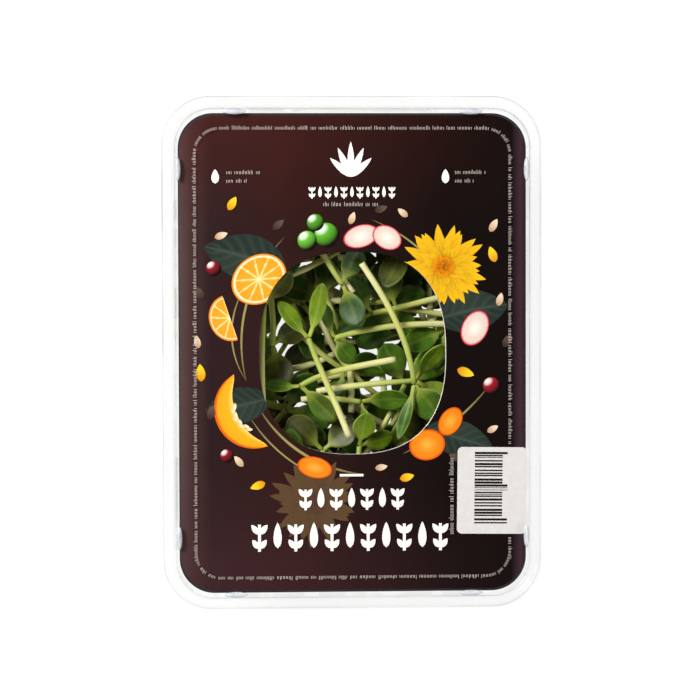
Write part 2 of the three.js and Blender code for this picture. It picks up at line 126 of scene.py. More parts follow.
# The shoots that lie on top, from the highest down. The stem's cut end, two bend points and leafy
# end in plan; how much lower the cut end lies; each leaf's heading, rise and roll in degrees,
# length and width; the tone.
# The bright tone on some of the highest shoots and the dark one on the lowest are partly the leaves' own
# colour and partly painted light and painted shade.
TOP_SHOOTS = [
    ([(-1.3, -30.8), (-5, -20), (-12.3, -5.5), (-15.8, 5.2)], -2.5,
     [(134, -6, 24, 18, 6.4), (69, -6, -22, 21.8, 6.6)], "bright"),
    ([(3.5, 32.7), (10.3, 22.5), (21, 6.5), (22.8, -11.5)], -2,
     [(-50, -10, 15, 16.5, 11.5), (-98, -4, 30, 22, 5)], "green"),
    ([(16.2, -2.7), (4, -4.9), (-10.5, -6.8), (-18.8, -12.3)], 0.5,
     [(-41, -4, 18, 18.6, 8.4), (188, -12, 40, 14, 6)], "green"),
    ([(-31, 35), (-30.4, 24), (-27.6, 12), (-28.9, 2.3)], 1,
     [(-76, -3, 4, 16.5, 11.3), (40, -14, 22, 15, 10)], "olive"),
    ([(-23.9, 12.5), (-17, 5), (-10, -2.5), (-2.6, -6.6)], 0,
     [(-91, 6, 30, 15, 5.2), (4, -6, 34, 17, 5)], "green"),
    ([(-12.8, -14.5), (-0.6, -12.2), (11.7, -11.6), (23.9, -10.7)], 0.4,
     [(60, 4, 26, 17.4, 7.4), (-33, -4, -20, 15.5, 8.2)], "bright"),
    ([(42, 9.9), (26, 10.9), (9, 9.9), (-6, 5.2)], -1,
     [(-57, -24, -20, 12, 8), (118, -6, 30, 15, 5.6)], "green"),
    ([(39, 21.4), (28, 18.6), (18, 16.2), (8, 14.1)], 1,
     [(126, -4, 30, 16, 9), (204, -8, -24, 15, 8.4)], "dark"),
    ([(-15, 19.6), (-4, 18.6), (5, 17.6), (12.6, 18.2)], 0,
     [(17, 0, 14, 16.5, 8.5), (-40, -16, 30, 17, 10)], "green"),
    ([(-3, -54), (1, -50), (2.6, -42), (2.7, -34.6)], 1,
     [(80, 3, 8, 13.6, 8.6), (20, -26, 20, 14, 7.6)], "bright"),
    ([(-18.4, -17.6), (-10, -16.6), (-3, -17.6), (3.5, -18.5)], 0,
     [(10, -2, 24, 18.5, 8.6), (-66, -8, 52, 15, 8)], "green"),
    ([(-5.6, -76), (-8, -62), (-11, -48), (-10.4, -36.3)], 1,
     [(139, -2, 8, 18.5, 11.4), (38, -4, -18, 16.5, 10.5)], "olive"),
    ([(56, 27), (48, 23), (41, 15), (35.6, 8.6)], 0,
     [(207, -6, 16, 18, 9.4), (262, -14, 30, 17, 10)], "green"),
    ([(47, -56), (44, -48), (36, -41), (29.9, -34)], 0,
     [(139, -2, 10, 17.5, 11), (208, -10, 30, 17, 10)], "olive"),
    ([(-32.4, -22), (-33.4, -10), (-33, 6), (-32, 17.4)], 0,
     [(58, -2, 20, 16.5, 9), (128, -8, 20, 18, 10)], "olive"),
    ([(-1, -2), (-5, 5), (-12, 11), (-17.3, 17.2)], 1,
     [(90, -2, 8, 15.6, 8.8), (158, -8, 20, 17, 10)], "olive"),
    ([(13.3, -19), (12, -8), (11, 4), (10.4, 16.6)], -1,
     [(97, 0, 20, 17, 10), (44, -2, 12, 22, 12)], "dark"),
    ([(-3.8, -9), (3, -8), (10, -7), (15.8, -5.9)], 0,
     [(48, -4, 20, 17, 10), (-42, -8, 20, 18, 11)], "dark"),
    ([(-20, 54), (-14, 42), (-9, 33), (-3.5, 25)], 0,
     [(-64, -8, 20, 17, 10), (68, -2, 24, 15.5, 9.5)], "dark"),
    ([(-38, -43), (-35, -36), (-30, -28), (-24, -22)], 0,
     [(60, -4, 24, 18, 11), (-10, -8, 18, 18, 11)], "dark"),
]

# ---- Camera ---------------------------------------------------------------------------------

CAMERA_DISTANCE = 900.0
FRAME_WIDTH = 253.6  # what the frame spans across the rim's plane
CAMERA_TILT = math.radians(2.2)  # it stands a little towards the top edge
CAMERA_LEAN = math.radians(3.0)  # and towards the left one
CAMERA_ROLL = math.radians(-0.15)
AIM = Vector((-1.2, 1.3, PACK_HEIGHT))


def make_camera():
    """A long lens high over the pack, so that its sides hardly spread."""
    lens = bpy.data.cameras.new("camera")
    lens.sensor_width = 36.0
    lens.lens = lens.sensor_width * CAMERA_DISTANCE / FRAME_WIDTH
    lens.clip_start = 0.05
    camera = bpy.data.objects.new("camera", lens)
    away = Vector((-math.tan(CAMERA_LEAN), math.tan(CAMERA_TILT), 1.0)).normalized()
    right = Vector((0, 1, 0)).cross(away).normalized()
    facing = Matrix((right, away.cross(right), away)).transposed()
    camera.location = (AIM + away * CAMERA_DISTANCE) * MM
    camera.rotation_euler = (facing @ Matrix.Rotation(CAMERA_ROLL, 3, "Z")).to_euler()
    bpy.context.scene.collection.objects.link(camera)
    bpy.context.scene.camera = camera


# ---- Colour and node helpers ----------------------------------------------------------------


def linear(colour):
    """An sRGB hex colour as linear RGBA."""
    channels = [int(colour[place:place + 2], 16) / 255 for place in (1, 3, 5)]
    return [c / 12.92 if c <= 0.04045 else ((c + 0.055) / 1.055) ** 2.4 for c in channels] + [1.0]


def every(size):
    """The scale of a pattern whose grains lie this many millimetres apart."""
    return 1 / (size * MM)


def add(tree, kind, inputs=None, stops=(), **settings):
    """Adds a node with its settings, links and the stops of a ramp.

    An input takes a socket, a node's first output in use, an sRGB hex colour or a plain value."""
    made = tree.nodes.new(kind)
    for key, value in settings.items():
        setattr(made, key, value)
    for key, value in (inputs or {}).items():
        if isinstance(value, bpy.types.Node):
            value = next(socket for socket in value.outputs if socket.enabled)
        if isinstance(value, bpy.types.NodeSocket):
            tree.links.new(value, made.inputs[key])
        else:
            made.inputs[key].default_value = linear(value) if isinstance(value, str) else value
    elements = made.color_ramp.elements if stops else []
    while len(elements) < len(stops):
        elements.new(0.5)
    for element, (position, colour) in zip(elements, stops):
        element.position = position
        element.color = linear(colour)
    return made


def new_material(name):
    """An empty material, with its node tree and the Object coordinates for its patterns."""
    material = bpy.data.materials.new(name)
    material.use_nodes = True
    tree = material.node_tree
    tree.nodes.clear()
    return material, tree, add(tree, "ShaderNodeTexCoord").outputs["Object"]


def finished(material, shader):
    """The material with its shader on the surface."""
    add(material.node_tree, "ShaderNodeOutputMaterial", {"Surface": shader})
    return material


# ---- Materials ------------------------------------------------------------------------------

CARD_ROUGHNESS = 0.28  # of the varnish, over card and inks alike
PET_MIRROR = 0.016  # what one face of the film mirrors when seen face-on
GLINT_POWER = 8.0  # how late the film's mirroring grows as it turns edge-on


def clear_pet():
    """Thermoformed PET film: see-through, with glints that grow where it is seen edge-on."""
    material, tree, where = new_material("clear_pet_film")
    facing = add(tree, "ShaderNodeLayerWeight", {"Blend": 0.5}).outputs["Facing"]
    # The see-through tint greys as the film turns edge-on: painted shade for the fine grey lines along its
    # walls and rim.
    tint = add(tree, "ShaderNodeValToRGB", {"Fac": facing}, (
        (0.0, "#FEFEFE"), (0.8, "#FCFCFC"), (0.93, "#F7F7F7"), (1.0, "#D3D5D6")))
    through = add(tree, "ShaderNodeBsdfTransparent", {"Color": tint})
    sag = add(tree, "ShaderNodeTexNoise", {"Vector": where, "Scale": every(16.7), "Detail": 2.0})
    wavy = add(tree, "ShaderNodeBump", {"Height": sag, "Strength": 0.07, "Distance": 0.001})
    gloss = add(tree, "ShaderNodeBsdfGlossy", {"Color": "#FFFFFF", "Roughness": 0.07, "Normal": wavy})
    steep = add(tree, "ShaderNodeMath", {0: facing, 1: GLINT_POWER}, operation="POWER")
    share = add(tree, "ShaderNodeMapRange", {"Value": steep, "To Min": PET_MIRROR, "To Max": 1.0})
    return finished(material, add(tree, "ShaderNodeMixShader", {0: share, 1: through, 2: gloss}))


def bent_pet():
    """The film's tight bends, drawn thin: their see-through tint is greyed as painted shade for the light
    they turn aside, so they read as fine grey lines.
    """
    material, tree, where = new_material("pet_film_bend")
    drawn = add(tree, "ShaderNodeTexNoise", {"Vector": where, "Scale": every(38.5), "Detail": 2.0})
    # A grey see-through tint, varied by a noise: painted shade along the bends.
    tint = add(tree, "ShaderNodeValToRGB", {"Fac": drawn}, ((0.36, "#D2D5D8"), (0.62, "#F3F5F6")))
    through = add(tree, "ShaderNodeBsdfTransparent", {"Color": tint})
    gloss = add(tree, "ShaderNodeBsdfGlossy", {"Color": "#FFFFFF", "Roughness": 0.1})
    return finished(material, add(tree, "ShaderNodeMixShader", {0: 0.05, 1: through, 2: gloss}))


def stretched_pet():
    """Film stretched over the lugs: milky in part, with a bluish tinge."""
    material, tree, where = new_material("stretched_pet_film")
    milky_mottle = add(tree, "ShaderNodeTexNoise", {"Vector": where, "Scale": every(2.5), "Detail": 2.0})
    milk = add(tree, "ShaderNodeValToRGB", {"Fac": milky_mottle}, ((0.3, "#C9D0DC"), (0.7, "#EEF1F6")))
    cloudy = add(tree, "ShaderNodeBsdfPrincipled", {"Base Color": milk, "Roughness": 0.3, "IOR": 1.57})
    through = add(tree, "ShaderNodeBsdfTransparent", {"Color": "#F4F6F8"})
    return finished(material, add(tree, "ShaderNodeMixShader", {0: 0.55, 1: through, 2: cloudy}))


def printed_card():
    """Coated carton board under satin varnish: a brown ground that deepens to black on the right, lighter on
    the left as painted sheen, with a painted highlight strip along the right edge.
    """
    material, tree, where = new_material("coated_carton_board")
    place = add(tree, "ShaderNodeSeparateXYZ", {0: where})
    rightness = add(tree, "ShaderNodeMapRange", {
        "Value": place.outputs["X"], "From Min": -CARD_HALF_X * MM, "From Max": CARD_HALF_X * MM})
    # The ramp's light left end is painted sheen. Its light band from 0.958 to 0.984 is a painted highlight
    # where the pressed-down right edge would catch the light.
    ground = add(tree, "ShaderNodeValToRGB", {"Fac": rightness}, (
        (0.0, "#523F3F"), (0.04, "#3E2A2A"), (0.09, "#28171A"), (0.3, "#2C1413"), (0.55, "#1C0D0D"),
        (0.78, "#0D0505"), (0.958, "#0E0606"), (0.984, "#3A2830"), (1.0, "#241619")))
    sheen_side = add(tree, "ShaderNodeMath", {0: 1.0, 1: rightness}, operation="SUBTRACT")
    for end, sheen_tint in ((-1, "#43262B"), (1, "#48170F")):  # painted sheen, warmer towards the left corners
        along = add(tree, "ShaderNodeMapRange", {
            "Value": place.outputs["Y"], "From Min": 0.5 * end * CARD_HALF_Y * MM,
            "From Max": end * CARD_HALF_Y * MM, "To Max": 0.6})
        share = add(tree, "ShaderNodeMath", {0: along, 1: sheen_side}, operation="MULTIPLY")
        ground = add(tree, "ShaderNodeMix", {0: share, 6: ground, 7: sheen_tint}, data_type="RGBA")
    mottle = add(tree, "ShaderNodeTexNoise", {"Vector": where, "Scale": every(11.1), "Detail": 4.0})
    printed = add(tree, "ShaderNodeMix", {0: 0.15, 6: ground, 7: mottle},
                  data_type="RGBA", blend_type="SOFT_LIGHT")
    # Real fibres are about 0.03 mm wide: they are drawn coarser, so that they show.
    fibre = add(tree, "ShaderNodeTexNoise", {"Vector": where, "Scale": every(0.714), "Detail": 2.0})
    bump = add(tree, "ShaderNodeBump", {"Height": fibre, "Strength": 0.08, "Distance": 0.0001})
    return finished(material, add(tree, "ShaderNodeBsdfPrincipled", {
        "Base Color": printed, "Roughness": CARD_ROUGHNESS, "IOR": 1.5, "Normal": bump}))


def matt_stock(name, grain, dark, light, roughness, ior):
    """A matt surface whose grains, in millimetres, run between two shades."""
    material, tree, where = new_material(name)
    mottle = add(tree, "ShaderNodeTexNoise", {"Vector": where, "Scale": every(grain), "Detail": 3.0})
    tint = add(tree, "ShaderNodeValToRGB", {"Fac": mottle}, ((0.3, dark), (0.7, light)))
    return finished(material, add(tree, "ShaderNodeBsdfPrincipled", {
        "Base Color": tint, "Roughness": roughness, "IOR": ior}))


def dark_trimmed_edge():
    """The board's trimmed rim: blue-black and matt, mottled between two near-black shades."""
    return matt_stock("trimmed_board_edge", 3.33, "#0E1216", "#1B2026", 0.6, 1.45)


def paper_core():
    """The board's undyed middle, bare where the window is die-cut: white and matt.

    Its fibres are drawn coarser than real ones, so that they show."""
    return matt_stock("carton_core", 1.11, "#B9B2AA", "#E6E1DA", 0.85, 1.5)


def label_paper():
    """Uncoated label paper: off-white and matt, with a faint grain, drawn coarser so that it shows."""
    return matt_stock("uncoated_label_paper", 2.0, "#CDCBCB", "#D4D2D2", 0.62, 1.4)


def printing_ink():
    """Offset ink under the card's varnish: its colour is laid on the print, with a fine dot grain."""
    material, tree, where = new_material("offset_ink")
    laid = add(tree, "ShaderNodeVertexColor", layer_name="ink")
    # Real dots are about 0.17 mm apart: they are drawn coarser, so that they show.
    dots = add(tree, "ShaderNodeTexNoise", {"Vector": where, "Scale": every(0.556), "Detail": 2.0})
    tint = add(tree, "ShaderNodeMix", {0: 0.16, 6: laid, 7: dots}, data_type="RGBA", blend_type="OVERLAY")
    return finished(material, add(tree, "ShaderNodeBsdfPrincipled", {
        "Base Color": tint, "Roughness": CARD_ROUGHNESS, "IOR": 1.5}))


def stem_tissue():
    """Blanched shoot stem: pale and juicy, cream at the cut end and greener near the leaves."""
    material, tree, where = new_material("sprout_stem")
    uv = add(tree, "ShaderNodeTexCoord").outputs["UV"]
    run = add(tree, "ShaderNodeSeparateXYZ", {0: uv})
    tint = add(tree, "ShaderNodeValToRGB", {"Fac": run}, (
        (0.0, "#A88A60"), (0.045, "#DCD3A6"), (0.14, "#E4E2A8"), (0.5, "#CBCE78"), (1.0, "#9BAD48")))
    patch = add(tree, "ShaderNodeTexNoise", {"Vector": where, "Scale": every(6.25), "Detail": 3.0})
    varied = add(tree, "ShaderNodeMix", {0: 0.35, 6: tint, 7: patch.outputs["Color"]},
                 data_type="RGBA", blend_type="SOFT_LIGHT")
    # 24 ridges round the stem, which is one every 0.3 mm, as long as a third of it
    ridges = add(tree, "ShaderNodeMapping", {"Vector": uv, "Scale": (3.0, 24.0, 1.0)})
    lines = add(tree, "ShaderNodeTexNoise", {"Vector": ridges, "Scale": 1.0, "Detail": 2.0})
    bump = add(tree, "ShaderNodeBump", {"Height": lines, "Strength": 0.3, "Distance": 0.0002})
    return finished(material, add(tree, "ShaderNodeBsdfPrincipled", {
        "Base Color": varied, "Roughness": 0.38, "IOR": 1.35, "Normal": bump,
        "Subsurface Weight": 0.25, "Subsurface Radius": (0.8, 1.0, 0.3), "Subsurface Scale": 0.0012}))


# The bright and dark tones also stand for painted light on high leaves and painted shade on low ones.
LEAF_TONES = {  # the blade's shade, its light patches, and the pale tint of its midrib, which also paints a highlight on its margin
    "bright": ("#4E740C", "#849E22", "#B0C058"),
    "green": ("#2A4E0A", "#567C18", "#8CA63E"),
    "dark": ("#1A3606", "#385E12", "#6E8C32"),
    "olive": ("#30360C", "#565E1A", "#848A38"),
}


def leaf_tissue(tone):
    """Fleshy seed leaf: waxy green skin with olive clouds, a faint groove, and a pale margin that is a
    painted highlight.
    """
    shade, light, rib = LEAF_TONES[tone]
    material, tree, where = new_material("seed_leaf_" + tone)
    run = add(tree, "ShaderNodeSeparateXYZ", {0: add(tree, "ShaderNodeTexCoord").outputs["UV"]})
    turn = add(tree, "ShaderNodeMath", {0: run.outputs["Y"], 1: math.tau}, operation="MULTIPLY")
    across = add(tree, "ShaderNodeMath", {0: turn}, operation="COSINE")
    off = add(tree, "ShaderNodeMath", {0: across}, operation="ABSOLUTE")
    patch = add(tree, "ShaderNodeTexNoise", {
        "Vector": where, "Scale": every(6.67), "Detail": 4.0, "Roughness": 0.6})
    skin = add(tree, "ShaderNodeValToRGB", {"Fac": patch}, ((0.32, shade), (0.72, light)))
    cloud = add(tree, "ShaderNodeTexNoise", {"Vector": where, "Scale": every(18.2), "Detail": 3.0})
    browned = add(tree, "ShaderNodeMapRange", {
        "Value": cloud, "From Min": 0.52, "From Max": 0.7, "To Max": 0.45})
    skin = add(tree, "ShaderNodeMix", {0: browned, 6: skin, 7: "#4C3D10"}, data_type="RGBA")
    # Real cells are about 0.05 mm wide: they are drawn coarser, so that they show.
    fine = add(tree, "ShaderNodeTexNoise", {"Vector": where, "Scale": every(0.625), "Detail": 2.0})
    skin = add(tree, "ShaderNodeMix", {0: 0.2, 6: skin, 7: fine}, data_type="RGBA", blend_type="OVERLAY")
    for source, start, end, first, last, tint in (
            (off, 0.0, 0.22, 0.22, 0.0, rib),  # the groove along the middle
            (off, 0.92, 1.0, 0.0, 0.8, rib),  # the margin, lightened as a painted highlight along its rim
            (run, 0.12, 0.42, 0.9, 0.0, "#A2AE48")):  # the stalk
        share = add(tree, "ShaderNodeMapRange", {
            "Value": source, "From Min": start, "From Max": end, "To Min": first, "To Max": last})
        skin = add(tree, "ShaderNodeMix", {0: share, 6: skin, 7: tint}, data_type="RGBA")
    fan = add(tree, "ShaderNodeCombineXYZ", {0: off, 1: run})
    veins = add(tree, "ShaderNodeTexWave", {
        "Vector": fan, "Scale": 1.6, "Distortion": 3.0, "Detail": 2.0, "Detail Scale": 2.0})
    height = add(tree, "ShaderNodeMath", {0: veins.outputs["Fac"], 1: fine}, operation="ADD")
    bump = add(tree, "ShaderNodeBump", {"Height": height, "Strength": 0.12, "Distance": 0.0002})
    return finished(material, add(tree, "ShaderNodeBsdfPrincipled", {
        "Base Color": skin, "Roughness": 0.4, "IOR": 1.33, "Normal": bump,
        "Subsurface Weight": 0.1, "Subsurface Radius": (0.5, 1.0, 0.2), "Subsurface Scale": 0.0008}))


def floor_board():
    """White opal acrylic of a light table: matt, and lit a little from within, so it holds no shadow."""
    material, tree, where = new_material("opal_acrylic")
    grain = add(tree, "ShaderNodeTexNoise", {"Vector": where, "Scale": every(25)})
    tint = add(tree, "ShaderNodeValToRGB", {"Fac": grain}, ((0.0, "#4E4E4E"), (1.0, "#525252")))
    return finished(material, add(tree, "ShaderNodeBsdfPrincipled", {
        "Base Color": tint, "Roughness": 0.9, "Emission Color": "#FFFFFF",
        "Emission Strength": FLOOR_GLOW}))


# ---- Mesh helpers ---------------------------------------------------------------------------


def make_piece(name, bm, materials, replaces=()):
    """An object of the mesh, smooth, with its materials, on the pack's one body."""
    mesh = bpy.data.meshes.new(name)
    bm.to_mesh(mesh)
    bm.free()
    for material in materials:
        mesh.materials.append(material)
    mesh.shade_smooth()
    piece = bpy.data.objects.new(name, mesh)
    bpy.context.scene.collection.objects.link(piece)
    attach(piece, BODY)
    if replaces:
        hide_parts(*replaces)
    return piece


def only(items, kind):
    """Those of an operator's results that are vertices, edges or faces."""
    return [item for item in items if isinstance(item, kind)]


def rounded_point(number, half_x, half_y, radius):
    """A point of a rounded rectangle: a circle drawn apart into four corners."""
    angle = math.tau * (number + 0.5) / OUTLINE_POINTS
    reach = radius / math.cos(math.pi / OUTLINE_POINTS)
    x = math.cos(angle) * reach + math.copysign(half_x - radius, math.cos(angle))
    y = math.sin(angle) * reach + math.copysign(half_y - radius, math.sin(angle))
    return Vector((x, y))


def outline_point(number, inset, height, radius):
    """A point of the pack's outline, moved in by an inset."""
    flat = rounded_point(number, PACK_WIDTH / 2 - inset, PACK_LENGTH / 2 - inset, radius)
    return Vector((*flat, height)) * MM


def cut_corners(profile, times):
    """The profile with each corner cut off, twice or more, which rounds it."""
    for _ in range(times):
        rounded = [profile[0]]
        for first, second in zip(profile, profile[1:]):
            rounded.append(tuple(0.75 * a + 0.25 * b for a, b in zip(first, second)))
            rounded.append(tuple(0.25 * a + 0.75 * b for a, b in zip(first, second)))
        profile = rounded + [profile[-1]]
    return profile


def formed_shell(profile, bends=()):
    """A flat floor whose edge is drawn on, ring by ring; bends are insets with the second finish."""
    bm = bmesh.new()
    order = bm.verts.layers.int.new("order")
    made = bmesh.ops.create_circle(bm, cap_ends=True, segments=OUTLINE_POINTS, radius=1.0)
    for number, vert in enumerate(made["verts"]):
        vert[order] = number
        vert.co = outline_point(number, *profile[0])
    edges = list(bm.edges)
    for before, ring in zip(profile, profile[1:]):
        drawn = bmesh.ops.extrude_edge_only(bm, edges=edges)["geom"]
        for vert in only(drawn, BMVert):
            vert.co = outline_point(vert[order], *ring)
        middle = (before[0] + ring[0]) / 2
        for face in only(drawn, BMFace):
            face.material_index = any(low < middle < high for low, high in bends)
        edges = [edge for edge in only(drawn, BMEdge) if edge.is_boundary]
    bmesh.ops.recalc_face_normals(bm, faces=bm.faces)
    return bm


def give_wall(piece, offset):
    """Thickness for a formed film, outwards at 1 and inwards at -1."""
    wall = piece.modifiers.new("film", "SOLIDIFY")
    wall.thickness = FILM * MM
    wall.offset = offset
    wall.use_even_offset = True


def rolled(bm, rows, sides, place, finish):
    """A grid rolled into a closed tube; place(share along, share of a turn) gives each point."""
    verts = bmesh.ops.create_grid(bm, x_segments=rows, y_segments=sides, size=0.5, calc_uvs=True)["verts"]
    faces = {face for vert in verts for face in vert.link_faces}
    for vert in verts:
        vert.co = place(vert.co.x + 0.5, vert.co.y + 0.5) * MM
    for face in faces:
        face.material_index = finish
    bmesh.ops.remove_doubles(bm, verts=verts, dist=0.002 * MM)


# ---- Tray and lid ---------------------------------------------------------------------------


def make_tray(film):
    """The tray: one sheet of film, formed into foot, floor, walls and flange."""
    bm = formed_shell(cut_corners(TRAY_PROFILE, 2))
    give_wall(make_piece("tray_film", bm, [film], ["tray"]), 1.0)


def add_lug(bm, x, y, along_y):
    """A small bump that holds the card's edge down."""
    verts = bmesh.ops.create_uvsphere(bm, u_segments=16, v_segments=10, radius=1.0)["verts"]
    half_x, half_y = (LUG_RADIUS, LUG_LENGTH / 2) if along_y else (LUG_LENGTH / 2, LUG_RADIUS)
    bmesh.ops.scale(bm, verts=verts, vec=(half_x * MM, half_y * MM, LUG_RADIUS * MM))
    bmesh.ops.translate(bm, verts=verts, vec=Vector((x, y, LUG_HEIGHT)) * MM)


def make_lid(film, bend, stretched):
    """The lid: one sheet of film with a recess and a turned-down rim, and the lugs in the recess."""
    bm = formed_shell(cut_corners(LID_PROFILE, 2), LID_BENDS)
    give_wall(make_piece("lid_film", bm, [film, bend], ["lid"]), -1.0)
    bm = bmesh.new()
    edge_x = PACK_WIDTH / 2 - LUG_INSET
    edge_y = PACK_LENGTH / 2 - LUG_INSET
    for end in (-1, 1):
        for side in (-1, 1):
            add_lug(bm, end * edge_x, side * LUG_ALONG_Y, True)
            add_lug(bm, side * LUG_ALONG_X, end * edge_y, False)
    make_piece("lid_lugs", bm, [stretched])


# ---- Card and sticker -----------------------------------------------------------------------

CARD_RINGS = (0.0, 0.25, 0.5, 0.75, 0.93, 0.96, 0.985, 1.0)  # shares of the way out to the card's edge
PRESSED_FROM = 0.93  # the share from which the card is pressed down under the lugs
EDGE_DROP = 0.16  # and how far, at its edge
SHARP_BEND = math.radians(15)  # the card's cut edges stay crisp


def window_point(number):
    """A point of the window's edge, an oval drawn out towards its corners."""
    angle = math.tau * (number + 0.5) / OUTLINE_POINTS
    shares = (math.cos(angle), math.sin(angle))
    bulge = [math.copysign(abs(share) ** (2 / WINDOW_POWER), share) for share in shares]
    return Vector((WINDOW_HALF_WIDTH * bulge[0], WINDOW_HALF_LENGTH * bulge[1], 0))


CUT_EDGE, TRIMMED_EDGE = 1, 2  # places of those finishes after the printed face's


def make_card(finishes):
    """The board: rings from the window out to its edge, then its back and its cut edges."""
    bm = bmesh.new()
    order = bm.verts.layers.int.new("order")
    ring = bm.verts.layers.int.new("ring")
    bmesh.ops.create_circle(bm, segments=OUTLINE_POINTS, radius=1.0)
    for number, vert in enumerate(bm.verts):
        vert[order] = number
        vert.co = (window_point(number) + Vector((0, 0, CARD_TOP))) * MM
    edges = list(bm.edges)
    for step, share in enumerate(CARD_RINGS[1:], start=1):
        drawn = bmesh.ops.extrude_edge_only(bm, edges=edges)["geom"]
        drop = EDGE_DROP * max(0.0, (share - PRESSED_FROM) / (1 - PRESSED_FROM)) ** 2
        for vert in only(drawn, BMVert):
            rim = rounded_point(vert[order], CARD_HALF_X, CARD_HALF_Y, CARD_CORNER)
            flat = window_point(vert[order]).lerp(rim.to_3d(), share)
            vert[ring] = step
            vert.co = (flat + Vector((0, 0, CARD_TOP - drop))) * MM
        edges = [edge for edge in only(drawn, BMEdge) if edge.is_boundary]
    back = bmesh.ops.extrude_face_region(bm, geom=list(bm.faces), use_keep_orig=True)["geom"]
    for vert in only(back, BMVert):
        lean = Vector() if vert[ring] else CUT_SLANT
        vert.co += (lean - Vector((0, 0, CARD_THICKNESS - EDGE_DROP))) * MM
    for face in bm.faces:
        rings = [vert[ring] for vert in face.verts]
        if min(rings) >= len(CARD_RINGS) - 2:
            face.material_index = TRIMMED_EDGE
        elif max(rings) == 0:
            face.material_index = CUT_EDGE
    bmesh.ops.recalc_face_normals(bm, faces=bm.faces)
    card = make_piece("board", bm, finishes, ["label_card"])
    card.data.set_sharp_from_angle(angle=SHARP_BEND)


def sticker_point(x, y):
    """A point of the sticker, measured from its middle, where it lies a little askew."""
    middle = (STICKER_LOW + STICKER_HIGH) / 2
    return middle.xy + Vector((x, y)) @ Matrix.Rotation(-STICKER_TURN, 2)


def make_sticker(paper):
    """The sticker: a thin sheet with round corners."""
    bm = bmesh.new()
    made = bmesh.ops.create_circle(bm, cap_ends=True, segments=OUTLINE_POINTS, radius=1.0)
    half = (STICKER_HIGH - STICKER_LOW) / 2
    for number, vert in enumerate(made["verts"]):
        flat = rounded_point(number, half.x, half.y, STICKER_CORNER)
        vert.co = Vector((*sticker_point(*flat), STICKER_LOW.z)) * MM
    top = bmesh.ops.extrude_face_region(bm, geom=list(bm.faces), use_keep_orig=True)["geom"]
    bmesh.ops.translate(bm, verts=only(top, BMVert), vec=(0, 0, (STICKER_HIGH.z - STICKER_LOW.z) * MM))
    bmesh.ops.recalc_face_normals(bm, faces=bm.faces)
    sticker = make_piece("sticker", bm, [paper], ["bar_sticker"])
    sticker.data.set_sharp_from_angle(angle=SHARP_BEND)


# ---- Ink ------------------------------------------------------------------------------------

WHITE_INK = linear("#F1EEEA")
SMALL_INK = linear("#C4BAB5")
BLACK_INK = linear("#141314")
CARD_INK = linear("#22120F")
INK_STEP = 0.0008  # how far each inked shape lies over the one before it


def mixed(first, second, share):
    """The colour that lies this share of the way from the first to the second."""
    share = min(max(share, 0.0), 1.0)
    return [a + (b - a) * share for a, b in zip(first, second)]


def turned(x, y, angle):
    """The point x, y turned round the origin."""
    return x * math.cos(angle) - y * math.sin(angle), x * math.sin(angle) + y * math.cos(angle)


def clear_of_window(x, y):
    """Moves a point of the print that would hang over the window out to its edge."""
    reach = abs(x / WINDOW_HALF_WIDTH) ** WINDOW_POWER + abs(y / WINDOW_HALF_LENGTH) ** WINDOW_POWER
    if reach >= 1:
        return x, y
    outwards = reach ** (-1 / WINDOW_POWER)
    return x * outwards, y * outwards


class Print:
    """Ink laid on a face, one thin shape after the other."""

    def __init__(self, height):
        self.bm = bmesh.new()
        self.ink = self.bm.verts.layers.float_color.new("ink")
        self.height = height

    def lay(self, rows, columns, place, paint):
        """A grid set out by place(u, v) and coloured by paint(u, v), both over 0 to 1."""
        self.height += INK_STEP
        grid = bmesh.ops.create_grid(self.bm, x_segments=rows, y_segments=columns, size=0.5)["verts"]
        for vert in grid:
            u, v = vert.co.x + 0.5, vert.co.y + 0.5
            vert[self.ink] = paint(u, v)
            vert.co = Vector((*place(u, v), self.height)) * MM
        bmesh.ops.remove_doubles(self.bm, verts=grid, dist=0.001 * MM)

    def bar(self, x, y, width, height, colour, angle=0.0):
        """A plain bar with its middle at x, y."""

        def place(u, v):
            across, up = turned((u - 0.5) * width, (v - 0.5) * height, angle)
            return x + across, y + up

        self.lay(1, 1, place, lambda u, v: colour)

    def finish(self, name, ink, slot):
        """Makes the print one piece whose faces all look up."""
        bmesh.ops.recalc_face_normals(self.bm, faces=self.bm.faces)
        down = [face for face in self.bm.faces if face.normal.z < 0]
        bmesh.ops.reverse_faces(self.bm, faces=down)
        return make_piece(name, self.bm, [ink])


def blade(sheet, x, y, heading, length, width, paint, sway=0.0, fullness=0.8, rows=10, columns=6):
    """A petal, seed or leaf that starts at x, y: a pointed oval, bent sideways by sway."""

    def place(u, v):
        half = width / 2 * math.sin(math.pi * u ** fullness) ** 0.75
        along, across = turned(u * length, (v - 0.5) * 2 * half + sway * u * u, heading)
        return clear_of_window(x + along, y + across)

    sheet.lay(rows, columns, place, paint)


def disc(sheet, x, y, radius, paint, squash=1.0, tilt=0.0, rows=12, columns=60, sweep=math.tau):
    """A round or a slice of one, with paint(share of the radius, angle); squash makes it lie aslant."""

    def place(u, v):
        angle = v * sweep
        across, up = turned(u * radius * math.cos(angle), u * radius * math.sin(angle) * squash, tilt)
        return clear_of_window(x + across, y + up)

    sheet.lay(rows, columns, place, lambda u, v: paint(u, v * sweep))


def petal_paint(base, tip, depth):
    """A petal's tint: deeper at its base, with a fold line along it and shaded margins."""
    shadow = linear("#4A2206")

    def paint(u, v):
        tint = mixed(base, tip, u * 1.5)
        fold = 0.22 * math.exp(-((v - 0.5) / 0.1) ** 2) + 0.5 * abs(v - 0.5) ** 2 * 4 * (1 - 0.5 * u)
        return mixed(tint, shadow, fold * 0.6 + depth * (1 - u * 0.7))

    return paint


PETAL_LAYERS = ((1.0, 19), (0.86, 17), (0.68, 15), (0.48, 12))  # share of the radius, and how many
EYE_TUFTS = 70
EYE_RADIUS = 0.26  # share of the bloom's radius
GOLDEN_TURN = 2.4  # radians from one tuft to the next


